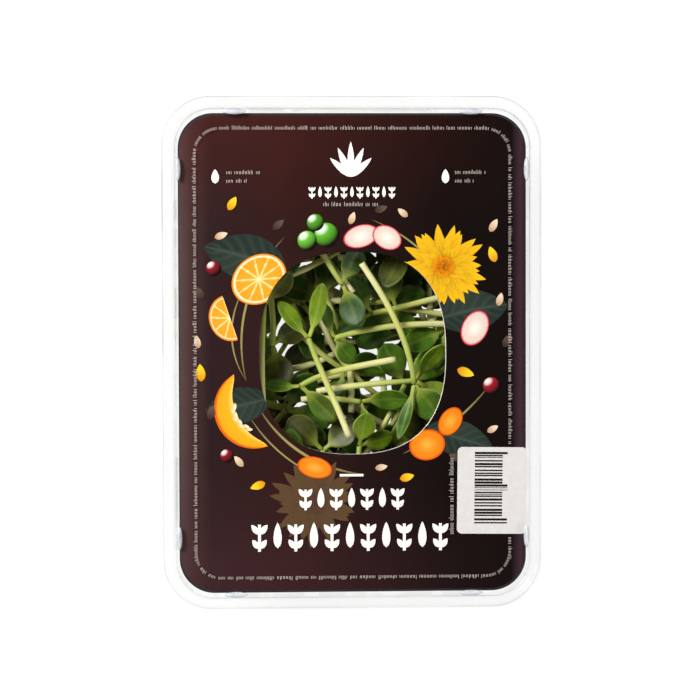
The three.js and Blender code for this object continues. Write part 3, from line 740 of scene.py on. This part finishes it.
def bloom(sheet, x, y, radius, seed, fade=0.0):
    """A double marigold: layers of petals round a small tufted eye; fade sinks it into the card."""
    sunk = linear("#3C2C2C")
    draw = seeded(seed)
    for layer, (share, count) in enumerate(PETAL_LAYERS):
        for number in range(count):
            heading = math.tau * (number + 0.5 * layer + 0.5 * next(draw)) / count
            long = radius * share * (0.88 + 0.2 * next(draw))
            tint = petal_paint(linear("#D9720C"), linear("#FBC31E"), 0.5 - 0.3 * share + 0.2 * next(draw))
            blade(sheet, x, y, heading, long, radius * 0.27,
                  lambda u, v, tint=tint: mixed(tint(u, v), sunk, fade), sway=2 * next(draw) - 1)
    for number in range(EYE_TUFTS):
        away = radius * EYE_RADIUS * math.sqrt(number / EYE_TUFTS)
        angle = GOLDEN_TURN * number
        brown = mixed(linear("#8A3C08"), linear("#E8930F"), away / radius * 2.6 + 0.4 * next(draw))
        spot = mixed(brown, sunk, fade)
        disc(sheet, x + away * math.cos(angle), y + away * math.sin(angle), radius * 0.035,
             lambda u, a, spot=spot: spot, rows=1, columns=8)


def citrus_paint(peel, flesh, cells):
    """A cut citrus fruit: peel, pale pith, and cells of flesh with skins between them."""
    pith, wall, deep = linear("#FBE3B4"), linear("#FFD58A"), linear("#E87408")

    def paint(u, angle):
        if u > 0.94:
            return peel
        if u > 0.87 or u < 0.06:
            return pith
        within = (angle / math.tau * cells) % 1.0
        skin = 1.0 if min(within, 1 - within) * u < 0.055 else 0.0
        sparkle = 0.5 + 0.5 * math.sin(angle * 41 + 9 * u) * math.sin(u * 23 + angle * 13)
        juicy = mixed(flesh, deep, 0.6 * sparkle * u)
        return mixed(juicy, wall, skin)

    return paint


def root_slice_paint(skin, flesh, heart):
    """A thin round of a root: bright skin, pale flesh with faint rays and a heart."""

    def paint(u, angle):
        if u > 0.91:
            return skin
        rays = 0.5 + 0.5 * math.sin(angle * 17 + 4 * u)
        tint = mixed(heart, flesh, u * 2.2 - 0.3)
        return mixed(tint, skin, 0.16 * rays * u + 0.4 * max(0.0, u - 0.82) / 0.09)

    return paint


def ball_paint(colour):
    """A ball lit from the upper left, with a soft highlight."""
    white, black = linear("#FFFFFF"), linear("#120808")

    def paint(u, angle):
        facing = (-0.45 * math.cos(angle) + 0.55 * math.sin(angle)) * u + 0.7 * math.sqrt(1 - min(u, 1) ** 2)
        shaded = mixed(black, colour, 0.12 + facing)
        return mixed(shaded, white, 0.75 * max(0.0, facing - 0.78) / 0.2)

    return paint


def leaf_paint(shade, vein):
    """A dark printed leaf with a pale midrib and side veins that run forward."""

    def paint(u, v):
        off = abs(v - 0.5) * 2
        rib = math.exp(-(off / 0.09) ** 2)
        side = 0.6 * math.exp(-(((u * 7 - off * 1.6) % 1.0 - 0.5) / 0.16) ** 2)
        light = 0.3 * math.sin(math.pi * u) * (1 if v > 0.5 else 0.3)
        return mixed(mixed(shade, vein, max(rib, side * (1 - 0.5 * off))), vein, light)

    return paint


def wedge(sheet, x, y, radius, thick, heading, sweep):
    """A crescent of pumpkin: rind, orange flesh, and pale seeds along its hollow."""
    rind, flesh, inner = linear("#D9610E"), linear("#FBA81C"), linear("#FFD873")

    def place(u, v):
        angle = heading + (v - 0.5) * sweep
        half = thick * math.cos(math.pi * (v - 0.5)) ** 0.6
        reach = radius - half * (1 - u)
        return clear_of_window(x + reach * math.cos(angle), y + reach * math.sin(angle))

    def paint(u, v):
        string = 0.3 * (0.5 + 0.5 * math.sin(v * 140)) * (1 - u)
        flat = mixed(inner, flesh, u * 3 + string)
        return rind if u > 0.9 else mixed(flat, rind, 0.5 * max(0.0, u - 0.5))

    sheet.lay(12, 60, place, paint)
    seed_tint = petal_paint(linear("#E9C893"), linear("#FFF1CF"), 0.1)
    for number in range(8):
        angle = heading + (number / 7 - 0.5) * sweep * 0.5
        across, up = turned(radius - thick * 0.9 + 0.7 * (number % 2), 0, angle)
        blade(sheet, x + across, y + up, angle + 1.9, 2.6, 1.3, seed_tint)


def tendril(sheet, radius, start, sweep, drift, width, colour):
    """A thin sprung arc round the window that swings outwards and thins to its ends."""

    def place(u, v):
        angle = math.radians(start + sweep * u)
        reach = radius + drift * u * u + (v - 0.5) * width * math.sin(math.pi * u) ** 0.5
        return clear_of_window(reach * math.cos(angle), reach * math.sin(angle))

    sheet.lay(40, 1, place, lambda u, v: mixed(CARD_INK, colour, 0.35 + 0.65 * math.sin(math.pi * u)))


def artwork(sheet):
    """Fruit, seeds and flowers thrown round the window; places and sizes are from the card's middle."""
    olive = linear("#9A8E56")
    for radius, start, sweep, drift, width in (
            (40, 195, -75, 9, 0.8), (43, 24, 58, 6, 0.7), (46, 148, 46, -6, 0.6), (41, -64, 50, 10, 0.9),
            (39.5, -150, 66, 5, 1.0), (48, 62, -50, 4, 0.5), (44, 210, 48, 3, 0.6)):
        tendril(sheet, radius, start, sweep, drift, width, olive)
    slate, vein = linear("#202A26"), linear("#3C4A40")
    for x, y, heading, length, width, sway in (
            (-24, 30, 158, 31, 17, 3), (30, 12, 18, 27, 16, -3), (27, -27, -22, 25, 13, 2),
            (-30, -16, 196, 24, 13, -2)):
        blade(sheet, x, y, math.radians(heading), length, width, leaf_paint(slate, vein), sway=sway,
              fullness=0.9, rows=56, columns=20)
    bloom(sheet, -14, -54, 16, seed=11, fade=0.93)
    bloom(sheet, 33, 31.5, 15.5, seed=12)
    orange, flesh = linear("#F0820F"), linear("#FCA52B")
    disc(sheet, -34, 27, 10.5, citrus_paint(orange, flesh, 10), squash=0.82, tilt=0.6, rows=24, columns=120)
    disc(sheet, -44.5, 13, 8.5, citrus_paint(orange, flesh, 10), squash=0.9, tilt=1.9, rows=20, columns=72,
         sweep=math.pi)
    wedge(sheet, -36, -20, 14.5, 8.0, math.radians(205), math.radians(170))
    radish = root_slice_paint(linear("#C4263F"), linear("#DFCFC4"), linear("#F1E8DF"))
    carrot = root_slice_paint(linear("#D8560A"), linear("#EE8418"), linear("#F6A63A"))
    for x, y, radius, squash, tilt, paint, rows in (
            (3, 42.5, 6.6, 0.62, 0.3, radish, 20), (12.5, 42, 5.6, 0.75, -0.5, radish, 20),
            (44.5, 9, 6.8, 0.7, 1.1, radish, 20), (27, -33.5, 6.6, 0.85, 0.2, carrot, 16),
            (35.5, -25, 5.6, 0.7, 1.0, carrot, 16), (-14, -41.5, 6.4, 0.6, 2.9, carrot, 16)):
        disc(sheet, x, y, radius, paint, squash=squash, tilt=tilt, rows=rows, columns=48)
    for x, y, radius, colour in (
            (-9.5, 43, 4.4, "#5FB52E"), (-16.5, 41, 3.5, "#6CC03A"), (-13.5, 47.5, 3.1, "#4FA326"),
            (-50.5, 31, 2.7, "#8E1626"), (50.5, -12, 3.1, "#A01C2A"), (-46, -37, 2.4, "#8E1626")):
        disc(sheet, x, y, radius, ball_paint(linear(colour)), rows=14, columns=40)
    pale = petal_paint(linear("#C79B76"), linear("#F2D9BE"), 0.15)
    dark = petal_paint(linear("#2C2422"), linear("#5A4A44"), 0.0)
    yellow = petal_paint(linear("#E58A0C"), linear("#FFD02A"), 0.05)
    for x, y, heading, length, width, paint in (
            (-1, 46.8, 70, 4.8, 2.5, pale), (20, 49.5, 140, 4.6, 2.4, pale), (50, 44, 60, 5.4, 2.7, pale),
            (-50, 42, 20, 5.0, 2.6, pale), (-56, 2, 100, 4.8, 2.5, pale), (53, 17, 75, 5.0, 2.6, pale),
            (49, -29, 30, 4.6, 2.4, pale), (-40, -41, 130, 5.0, 2.5, pale), (8, -42, 10, 4.6, 2.4, pale),
            (-29, 45, 40, 5.4, 2.7, dark), (-54, 20, 130, 6.0, 3.2, dark), (55, 2, 60, 5.6, 3.0, dark),
            (-52, -24, 80, 5.6, 3.0, dark), (40, -39, 160, 5.4, 2.9, dark), (8, 51.5, 20, 5.0, 2.6, dark),
            (52, 33, 110, 6.0, 3.2, yellow), (-45, 52, 60, 5.6, 3.0, yellow),
            (-55, -10, 95, 6.4, 3.4, yellow), (38, -6, -20, 6.6, 3.4, yellow),
            (-32, -47, 200, 5.8, 3.0, yellow), (17, -46, 15, 5.4, 3.0, yellow)):
        blade(sheet, x, y, math.radians(heading), length, width, paint)


BORDER_HALF_X, BORDER_HALF_Y, BORDER_CORNER = CARD_HALF_X - 6.5, CARD_HALF_Y - 6.0, 8.6
BORDER_LENGTH = 4 * (BORDER_HALF_X + BORDER_HALF_Y) - (8 - math.tau) * BORDER_CORNER
STROKE = 0.16  # width of a stroke of the small print
SHORT_STROKE = 0.7  # share of a tall one's height
SHORT_SHARE = 0.78  # of all strokes
LEAST_STROKES, MORE_STROKES = 3, 12  # in a group
STROKE_STEPS = (0.62, 0.45)  # from each stroke to the next, by turns
GROUP_GAP = 0.8  # more, between two groups of strokes


def border_line(along):
    """A place on the line that runs clockwise inside the card's edge, and the line's heading there."""
    for side in range(4):
        half, reach = (BORDER_HALF_X, BORDER_HALF_Y)[::1 if side % 2 == 0 else -1]
        heading = -side * math.pi / 2
        straight = 2 * (half - BORDER_CORNER)
        if along < straight:
            return (*turned(along - straight / 2, reach, heading), heading)
        along -= straight
        swing = along / BORDER_CORNER
        if swing < math.pi / 2:
            x = straight / 2 + BORDER_CORNER * math.sin(swing)
            y = reach - BORDER_CORNER * (1 - math.cos(swing))
            return (*turned(x, y, heading), heading - swing)
        along -= BORDER_CORNER * math.pi / 2
    return border_line(0.0)


def straight_line(x, y, heading):
    """A line like border_line, straight from x, y."""
    return lambda along: (x + along * math.cos(heading), y + along * math.sin(heading), heading)


def small_print(sheet, line, length, height, seed):
    """Groups of plain upright strokes along a line, where small print would be: none is a letter."""
    draw = seeded(seed)
    along = 0.0
    while along < length:
        for number in range(LEAST_STROKES + int(MORE_STROKES * next(draw))):
            tall = height * (1.0 if next(draw) > SHORT_SHARE else SHORT_STROKE)
            x, y, heading = line(along)
            up_x, up_y = turned(0, tall / 2, heading)
            under_sticker = x > STICKER_LOW.x - 1 and STICKER_LOW.y - 1 < y < STICKER_HIGH.y + 1
            if not under_sticker:
                sheet.bar(x + up_x, y + up_y, STROKE, tall, SMALL_INK, heading)
            along += STROKE_STEPS[number % 2]
            if along > length:
                return
        along += GROUP_GAP


def white(u, v):
    """The paint of a mark that is white all over."""
    return WHITE_INK


def sprout_mark(sheet, x, y, tall, wide):
    """A plain sprout in white: a slim stem and two pairs of seed leaves."""
    sheet.bar(x, y - tall * 0.08, wide * 0.15, tall * 0.84, WHITE_INK)
    for level, long in ((-0.4, 0.56), (0.04, 0.62)):
        for side in (-1, 1):
            heading = math.radians(90 - side * 46)
            blade(sheet, x, y + tall * level, heading, wide * long, wide * 0.3, white,
                  sway=side * 0.06 * wide, fullness=0.9)


def seed_mark(sheet, x, y, tall, wide):
    """A plain pointed seed in white."""
    blade(sheet, x, y - tall * 0.5, math.radians(90), tall, wide, white, fullness=0.75)


def mark_row(sheet, middle, y, tall, pitch, count):
    """A band of sprouts with a seed between each two."""
    for number in range(count):
        x = middle + (number - (count - 1) / 2) * pitch
        if number % 2:
            seed_mark(sheet, x, y, tall * 0.8, pitch * 0.46)
        else:
            sprout_mark(sheet, x, y, tall, pitch * 1.1)


TOP_MARK = (-0.6, 64.0)  # a fan of leaves above the small row
FAN_LEAVES = 5


def plain_marks(sheet):
    """Ornaments and strokes where such a card has its title and its small print."""
    mark_row(sheet, -0.6, -52.6, 9.0, 5.6, 7)
    mark_row(sheet, -1.2, -66.2, 11.8, 6.6, 11)
    sheet.bar(-0.6, -44.4, 8.6, 0.9, WHITE_INK)
    for number in range(FAN_LEAVES):
        off = number - FAN_LEAVES // 2
        blade(sheet, *TOP_MARK, math.radians(90 + 24 * off), 12.8 - 1.3 * abs(off), 2.5, white)
    mark_row(sheet, -0.2, 58.6, 5.0, 2.9, 11)
    small_print(sheet, straight_line(-10.5, 53.4, 0), 20, 1.6, seed=40)
    for icon_x, lines_x, long in ((-49.7, -45.6, 12.4), (33.8, 37.4, 11)):
        seed_mark(sheet, icon_x, 64.2, 5.2, 2.8)
        small_print(sheet, straight_line(lines_x, 65.0, 0), long, 1.5, seed=41)
        small_print(sheet, straight_line(lines_x, 61.9, 0), long * 0.6, 1.5, seed=44)
    small_print(sheet, border_line, BORDER_LENGTH - 1, 1.4, seed=50)
    small_print(sheet, straight_line(36.6, -66, math.radians(90)), 28, 1.7, seed=54)


PRINT_LIFT = 0.02  # the first ink's height over the card
BARS_LIFT = 0.01  # and over the sticker


def make_print(ink):
    """The card's print: the artwork, and the marks over it."""
    sheet = Print(CARD_TOP + PRINT_LIFT)
    artwork(sheet)
    top = sheet.height
    sheet.finish("card_artwork", ink, "printed_card")
    sheet = Print(top)
    plain_marks(sheet)
    sheet.finish("card_marks", ink, "printed_card")


BARS_LEFT, BARS_RIGHT, GUARD_RIGHT = -6.4, 3.8, 5.6  # from the sticker's middle
BARS_LOW, BARS_HIGH = -12.1, 13.7
BARS_MIDDLE = (BARS_LOW + BARS_HIGH) / 2
BAR_MODULE = 0.27  # the thinnest bar


def make_bars(ink):
    """Plain bars of seeded widths across the sticker; those at both ends and halfway are longer."""
    sheet = Print(STICKER_HIGH.z + BARS_LIFT)
    draw = seeded(60)
    low = BARS_LOW
    while low < BARS_HIGH:
        thick = BAR_MODULE * (1 + int(3 * next(draw) ** 1.6))
        guard = min(low - BARS_LOW, BARS_HIGH - low) < 1.2 or abs(low - BARS_MIDDLE) < 0.8
        right = GUARD_RIGHT if guard else BARS_RIGHT
        x, y = sticker_point((BARS_LEFT + right) / 2, low + thick / 2)
        sheet.bar(x, y, right - BARS_LEFT, thick, BLACK_INK, STICKER_TURN)
        low += thick + BAR_MODULE * (1 + int(3 * next(draw) ** 1.6))
    sheet.finish("sticker_bars", ink, "sticker_paper")


# ---- Shoots ---------------------------------------------------------------------------------


def seeded(seed):
    """Draws between 0 and 1 by a linear congruential rule, the one that shaped the frame's shoots."""
    state = (seed + 1) * 2654435761 % 2 ** 32
    while True:
        state = (state * 1664525 + 1013904223) % 2 ** 32
        yield state / 2 ** 32


def leaf_half_width(share, width):
    """Half of the leaf's width, from its narrow stalk through its oval blade."""
    along = max(0.0, share - PETIOLE_END) / (1 - PETIOLE_END)
    oval = math.sin(math.pi * min(along ** 1.1, 1.0)) ** 0.6 if along < 1 else 0.0
    return max(PETIOLE_HALF * (1 - along), oval * width / 2)


def leaf_frame(base, leaf):
    """Gives place(share along, share across, height over the blade) for a curled, cupped leaf."""
    heading, rise, roll, length, width, curl, cup = leaf
    ahead = Vector((math.cos(rise) * math.cos(heading), math.cos(rise) * math.sin(heading), math.sin(rise)))
    level = Vector((-math.sin(heading), math.cos(heading), 0))
    lift = ahead.cross(level)
    side = level * math.cos(roll) + lift * math.sin(roll)
    up = lift * math.cos(roll) - level * math.sin(roll)
    radius = length / curl

    def place(share, across, height):
        turn = curl * share
        half = leaf_half_width(share, width)
        raised = height + cup * across ** 2 * (2 * half / width) ** 2
        return (base + ahead * (radius - raised) * math.sin(turn)
                + up * (radius * (1 - math.cos(turn)) + raised * math.cos(turn)) + side * (across * half))

    return place


def bezier(points, share):
    """A point of the curve with four control points."""
    rest = 1 - share
    a, b, c, d = points
    return a * rest ** 3 + b * (3 * rest ** 2 * share) + c * (3 * rest * share ** 2) + d * share ** 3


def bezier_way(points, share):
    """The curve's heading there."""
    rest = 1 - share
    a, b, c, d = points
    return ((b - a) * rest ** 2 + (c - b) * (2 * rest * share) + (d - c) * share ** 2).normalized()


def top_shoot(number):
    """The stem's control points, the two leaves and the tone of a listed shoot."""
    plan, fall, leaves, tone = TOP_SHOOTS[number]
    draw = seeded(100 + number)
    heights = (-fall, 0.8 - fall * 0.7, 0.8 - fall * 0.3, 0.0)
    stem = [Vector((x, y, height)) for (x, y), height in zip(plan, heights)]
    shaped = []
    for heading, rise, roll, length, width in leaves:
        angles = (math.radians(heading), math.radians(rise), math.radians(roll))
        shaped.append((*angles, length, width, 0.2 + 0.5 * next(draw), 0.6 + 0.8 * next(draw)))
    return stem, shaped, tone


def loose_shoot(number, steepness=1.0):
    """The stem's control points and the two leaves of a drawn shoot; less steepness lays it flatter."""
    draw = seeded(number)

    def between(low, high):
        return low + (high - low) * next(draw)

    reach = between(36, 54) / 3
    bend = math.radians(between(-48, 48))
    heading = math.radians(between(0, 360))
    slope = math.tan(math.radians(between(-12, 12) * steepness))
    stem = [Vector((0, 0, 0))]
    for part in range(3):
        way = heading + bend * part / 2
        step = Vector((math.cos(way), math.sin(way), slope * (1 - part * 0.6)))
        stem.append(stem[-1] + step * reach)
    leaves = []
    for side in (1, -1):
        headed = heading + bend + side * math.radians(between(24, 68))
        rise = math.radians(between(-16, 20) * steepness)
        roll = math.radians(side * between(-10, 50) * steepness)
        length = between(16.5, 22)
        width = between(9, 12)
        curl = between(-0.5, 0.9)
        leaves.append((headed, rise, roll, length, width, curl, between(0.3, 1.4)))
    return stem, leaves


FINE = (26, 12, 20, 16)  # rows and sides of a stem, then of a leaf
PLAIN = (14, 8, 12, 10)
LOOSE_TONES = ("green", "dark", "olive", "green")  # of the frame's loose shoots, by turns
ADDED_TONES = ("olive", "green", "olive", "dark")  # and of the added ones, which lie deep: their olive and dark tones are partly painted shade


def grow_shoot(bm, stem, leaves, detail):
    """Adds a round stem with a flat cut end, and the two thick seed leaves on its top; gives its vertices."""
    bm.loops.layers.uv.verify()
    before = set(bm.verts)
    stem_rows, stem_sides, leaf_rows, leaf_sides = detail

    def stem_place(share, turn):
        row = round(share * stem_rows)
        along = min(max((row - 1) / (stem_rows - 2), 0.0), 1.0)
        radius = 0.0 if row in (0, stem_rows) else STEM_RADIUS * (1.04 - STEM_TAPER * along ** 2)
        way = bezier_way(stem, along)
        side = way.cross(Vector((0, 0, 1))).normalized()
        up = side.cross(way)
        angle = math.tau * turn
        return bezier(stem, along) + (side * math.cos(angle) + up * math.sin(angle)) * radius

    rolled(bm, stem_rows, stem_sides, stem_place, 0)
    for leaf in leaves:
        place = leaf_frame(stem[3], leaf)

        def leaf_place(share, turn, place=place, width=leaf[4]):
            half = leaf_half_width(share, width)
            thick = LEAF_THICKNESS / 2 * min(1.0, math.sqrt(half / LEAF_FULL_FROM)) if share else 0.0
            angle = math.tau * turn
            spread = math.cos(angle) if share else 0.0
            groove = GROOVE_DEPTH * math.exp(-(spread / GROOVE_SPREAD) ** 2) if share > 0.2 else 0.0
            height = math.sin(angle) * thick - groove * max(math.sin(angle), 0.0)
            return place(share, spread, height)

        rolled(bm, leaf_rows, leaf_sides, leaf_place, 1)
    return [vert for vert in bm.verts if vert not in before]


POINT_SPACING = 1.8  # between two of the points that stand for a shoot
CLOSEST = 1.15  # how near two shoots' points may come


def room_points(stem, leaves):
    """Points through the shoot, for finding a clear place."""
    count = math.ceil((stem[3] - stem[0]).length / POINT_SPACING)
    points = [bezier(stem, step / count) for step in range(count + 1)]
    for leaf in leaves:
        place = leaf_frame(stem[3], leaf)
        rows = math.ceil(leaf[3] / POINT_SPACING)
        for row in range(2, rows + 1):
            columns = math.ceil(leaf_half_width(row / rows, leaf[4]) / POINT_SPACING)
            for column in range(-columns, columns + 1):
                across = column / columns if columns else 0.0
                points.append(place(row / rows, across, 0.0))
    return points


def middle_of(verts):
    """The middle of the box round the vertices."""
    low = [min(vert.co[axis] for vert in verts) for axis in range(3)]
    high = [max(vert.co[axis] for vert in verts) for axis in range(3)]
    return (Vector(low) + Vector(high)) / 2


def inside_tray(point, ceiling):
    """Whether a shoot's point lies clear of the tray and the lid, and under the ceiling by the window."""
    near_window = math.hypot(point.x, point.y) < WINDOW_HALF_LENGTH + WINDOW_MARGIN
    roof = ceiling if near_window else ROOF - LEAF_THICKNESS
    if not FLOOR_TOP + LEAF_ROOM < point.z < roof:
        return False
    inset = FOOT_INSET - WALL_FLARE * min(point.z / LEDGE_HEIGHT, 1.0) + WALL_ROOM
    x = max(abs(point.x) - (PACK_WIDTH / 2 - inset - WALL_CORNER), 0.0)
    y = max(abs(point.y) - (PACK_LENGTH / 2 - inset - WALL_CORNER), 0.0)
    return math.hypot(x, y) < WALL_CORNER


class Room:
    """What the shoots already take up, as points in millimetres."""

    def __init__(self):
        self.points = []

    def take(self, points):
        """Adds a shoot's points."""
        self.points.extend(points)
        self.tree = KDTree(len(self.points))
        for number, point in enumerate(self.points):
            self.tree.insert(point, number)
        self.tree.balance()

    def is_clear(self, points, move, ceiling):
        """Whether a shoot of these points, moved so, touches neither the tray nor another shoot."""
        for point in points:
            moved = point + move
            if not inside_tray(moved, ceiling) or self.tree.find(moved)[2] < CLOSEST:
                return False
        return True


TRIES = 36
LOWEST = 3.4
LIFT_STEP = 0.6
FIRST_SEED = 5000
LAID_FLAT = 0.35  # the added shoots lie flatter than the frame's
SPREADS = ((0.5, 0.4), (0.9, 0.95))  # shares of the pack's sides that places are drawn from
MIDDLE_SPREAD = (0.36, 0.28)
POINT_ORDER = 9  # points that lie far apart are tried first, which finds a clash sooner


def lowest_place(room, points, number, leafy_end):
    """The lowest clear place out of several drawn ones, or none."""
    draw = seeded(FIRST_SEED + number)
    in_middle = number >= LOOSE_SHOOTS + EXTRA_SHOOTS - MIDDLE_SHOOTS
    spread = MIDDLE_SPREAD if in_middle else SPREADS[number % len(SPREADS)]
    ceiling = MIDDLE_CEILING if in_middle else WINDOW_CEILING
    spaced = [point for start in range(POINT_ORDER) for point in points[start::POINT_ORDER]]
    best = None
    for _ in range(TRIES):
        x = (next(draw) - 0.5) * PACK_WIDTH * spread[0]
        y = (next(draw) - 0.5) * PACK_LENGTH * spread[1]
        if in_middle:  # the leafy end, and not the cut one, comes to the drawn place
            x, y = x - leafy_end.x, y - leafy_end.y
        top = best.z if best else ROOF
        for step in range(int((top - LOWEST) / LIFT_STEP)):
            move = Vector((x, y, LOWEST + step * LIFT_STEP))
            if room.is_clear(spaced, move, ceiling):
                best = move
                break
    return best


def make_shoots(stem_finish, leaf_finishes):
    """A finer shoot for each of the frame's, in its place, and then the added ones."""
    room = Room()
    placed = []
    for name in sorted(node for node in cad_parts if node.startswith("shoot_")):
        number = int(name[-2:]) - 1
        loose = number - len(TOP_SHOOTS)
        if loose < 0:
            stem, leaves, tone = top_shoot(number)
        else:
            stem, leaves = loose_shoot(loose)
            tone = LOOSE_TONES[loose % 4]
        bm = bmesh.new()
        verts = grow_shoot(bm, stem, leaves, FINE)
        low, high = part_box(name)
        move = (low + high) / 2 - middle_of(verts)
        if loose < 0:  # its plan is given from the pack's middle
            move.x = move.y = 0.0
        bmesh.ops.translate(bm, verts=verts, vec=move)
        bmesh.ops.recalc_face_normals(bm, faces=bm.faces)
        make_piece(name + "_fresh", bm, [stem_finish, leaf_finishes[tone]], [name])
        placed += [point + move / MM for point in room_points(stem, leaves)]
    room.take(placed)
    fill_tray(room, stem_finish, leaf_finishes)


def fill_tray(room, stem_finish, leaf_finishes):
    """More loose shoots under the top ones, joined in one piece for each tone."""
    heaps = {tone: bmesh.new() for tone in ("green", "dark", "olive")}
    for extra in range(EXTRA_SHOOTS):
        number = LOOSE_SHOOTS + extra
        stem, leaves = loose_shoot(number, LAID_FLAT)
        tone = ADDED_TONES[extra % 4]
        points = room_points(stem, leaves)
        move = lowest_place(room, points, number, stem[3])
        if move is None:
            continue
        verts = grow_shoot(heaps[tone], stem, leaves, PLAIN)
        bmesh.ops.translate(heaps[tone], verts=verts, vec=move * MM)
        room.take([point + move for point in points])
    for tone, bm in heaps.items():
        bmesh.ops.recalc_face_normals(bm, faces=bm.faces)
        make_piece("loose_shoots_" + tone, bm, [stem_finish, leaf_finishes[tone]])


# ---- Floor and light ------------------------------------------------------------------------

FLOOR_GLOW = 0.98
WALL_LIGHT = 0.64
CEILING_LIGHT = 0.02
BELOW_LIGHT = 0.1
SOFTBOXES = (  # name, place and size in metres, power in watts
    ("key_light", (-0.85, 0.6, 1.0), 0.5, 27.2),
    ("fill_light", (0.9, -0.6, 0.8), 0.6, 5.0),
)


def make_floor():
    """The light table that the pack stands on, which is no piece of it."""
    bm = bmesh.new()
    bmesh.ops.create_grid(bm, x_segments=1, y_segments=1, size=2.0)
    mesh = bpy.data.meshes.new("floor")
    bm.to_mesh(mesh)
    bm.free()
    mesh.materials.append(floor_board())
    floor = bpy.data.objects.new("floor", mesh)
    bpy.context.scene.collection.objects.link(floor)
    floor.visible_diffuse = False  # its glow is for the eye, and the pack is lit from above


def add_softbox(name, place, size, power):
    """A square soft light that faces the pack."""
    lamp = bpy.data.lights.new(name, "AREA")
    lamp.shape = "SQUARE"
    lamp.size = size
    lamp.energy = power
    light = bpy.data.objects.new(name, lamp)
    light.location = place
    light.rotation_euler = (-Vector(place)).to_track_quat("-Z", "Y").to_euler()
    bpy.context.scene.collection.objects.link(light)


def make_world():
    """Bright walls all round, a dark ceiling, so that flat faces mirror little of it, and dim below."""
    world = bpy.data.worlds.new("studio")
    world.use_nodes = True
    tree = world.node_tree
    tree.nodes.clear()
    way = add(tree, "ShaderNodeSeparateXYZ", {0: add(tree, "ShaderNodeTexCoord").outputs["Generated"]})
    wall = add(tree, "ShaderNodeMapRange", {
        "Value": way.outputs["Z"], "From Min": 0.5, "From Max": 0.86,
        "To Min": WALL_LIGHT, "To Max": CEILING_LIGHT})
    above = add(tree, "ShaderNodeMath", {0: way.outputs["Z"], 1: 0.0}, operation="GREATER_THAN")
    strength = add(tree, "ShaderNodeMix", {0: above, 2: BELOW_LIGHT, 3: wall}, data_type="FLOAT")
    sky = add(tree, "ShaderNodeBackground", {"Color": "#FFF4DC", "Strength": strength})
    add(tree, "ShaderNodeOutputWorld", {"Surface": sky})
    bpy.context.scene.world = world


def make_light():
    """The studio: bright walls and two softboxes, shown without a film curve."""
    make_world()
    for softbox in SOFTBOXES:
        add_softbox(*softbox)
    bpy.context.scene.view_settings.view_transform = "Standard"
    bpy.context.scene.cycles.transparent_max_bounces = 32  # rays pass up to a dozen film faces


# ---- The pack -------------------------------------------------------------------------------

film = clear_pet()
make_tray(film)
make_lid(film, bent_pet(), stretched_pet())
make_card([printed_card(), paper_core(), dark_trimmed_edge()])
make_sticker(label_paper())
ink = printing_ink()
make_print(ink)
make_bars(ink)
make_shoots(stem_tissue(), {tone: leaf_tissue(tone) for tone in LEAF_TONES})
make_floor()
make_light()
make_camera()
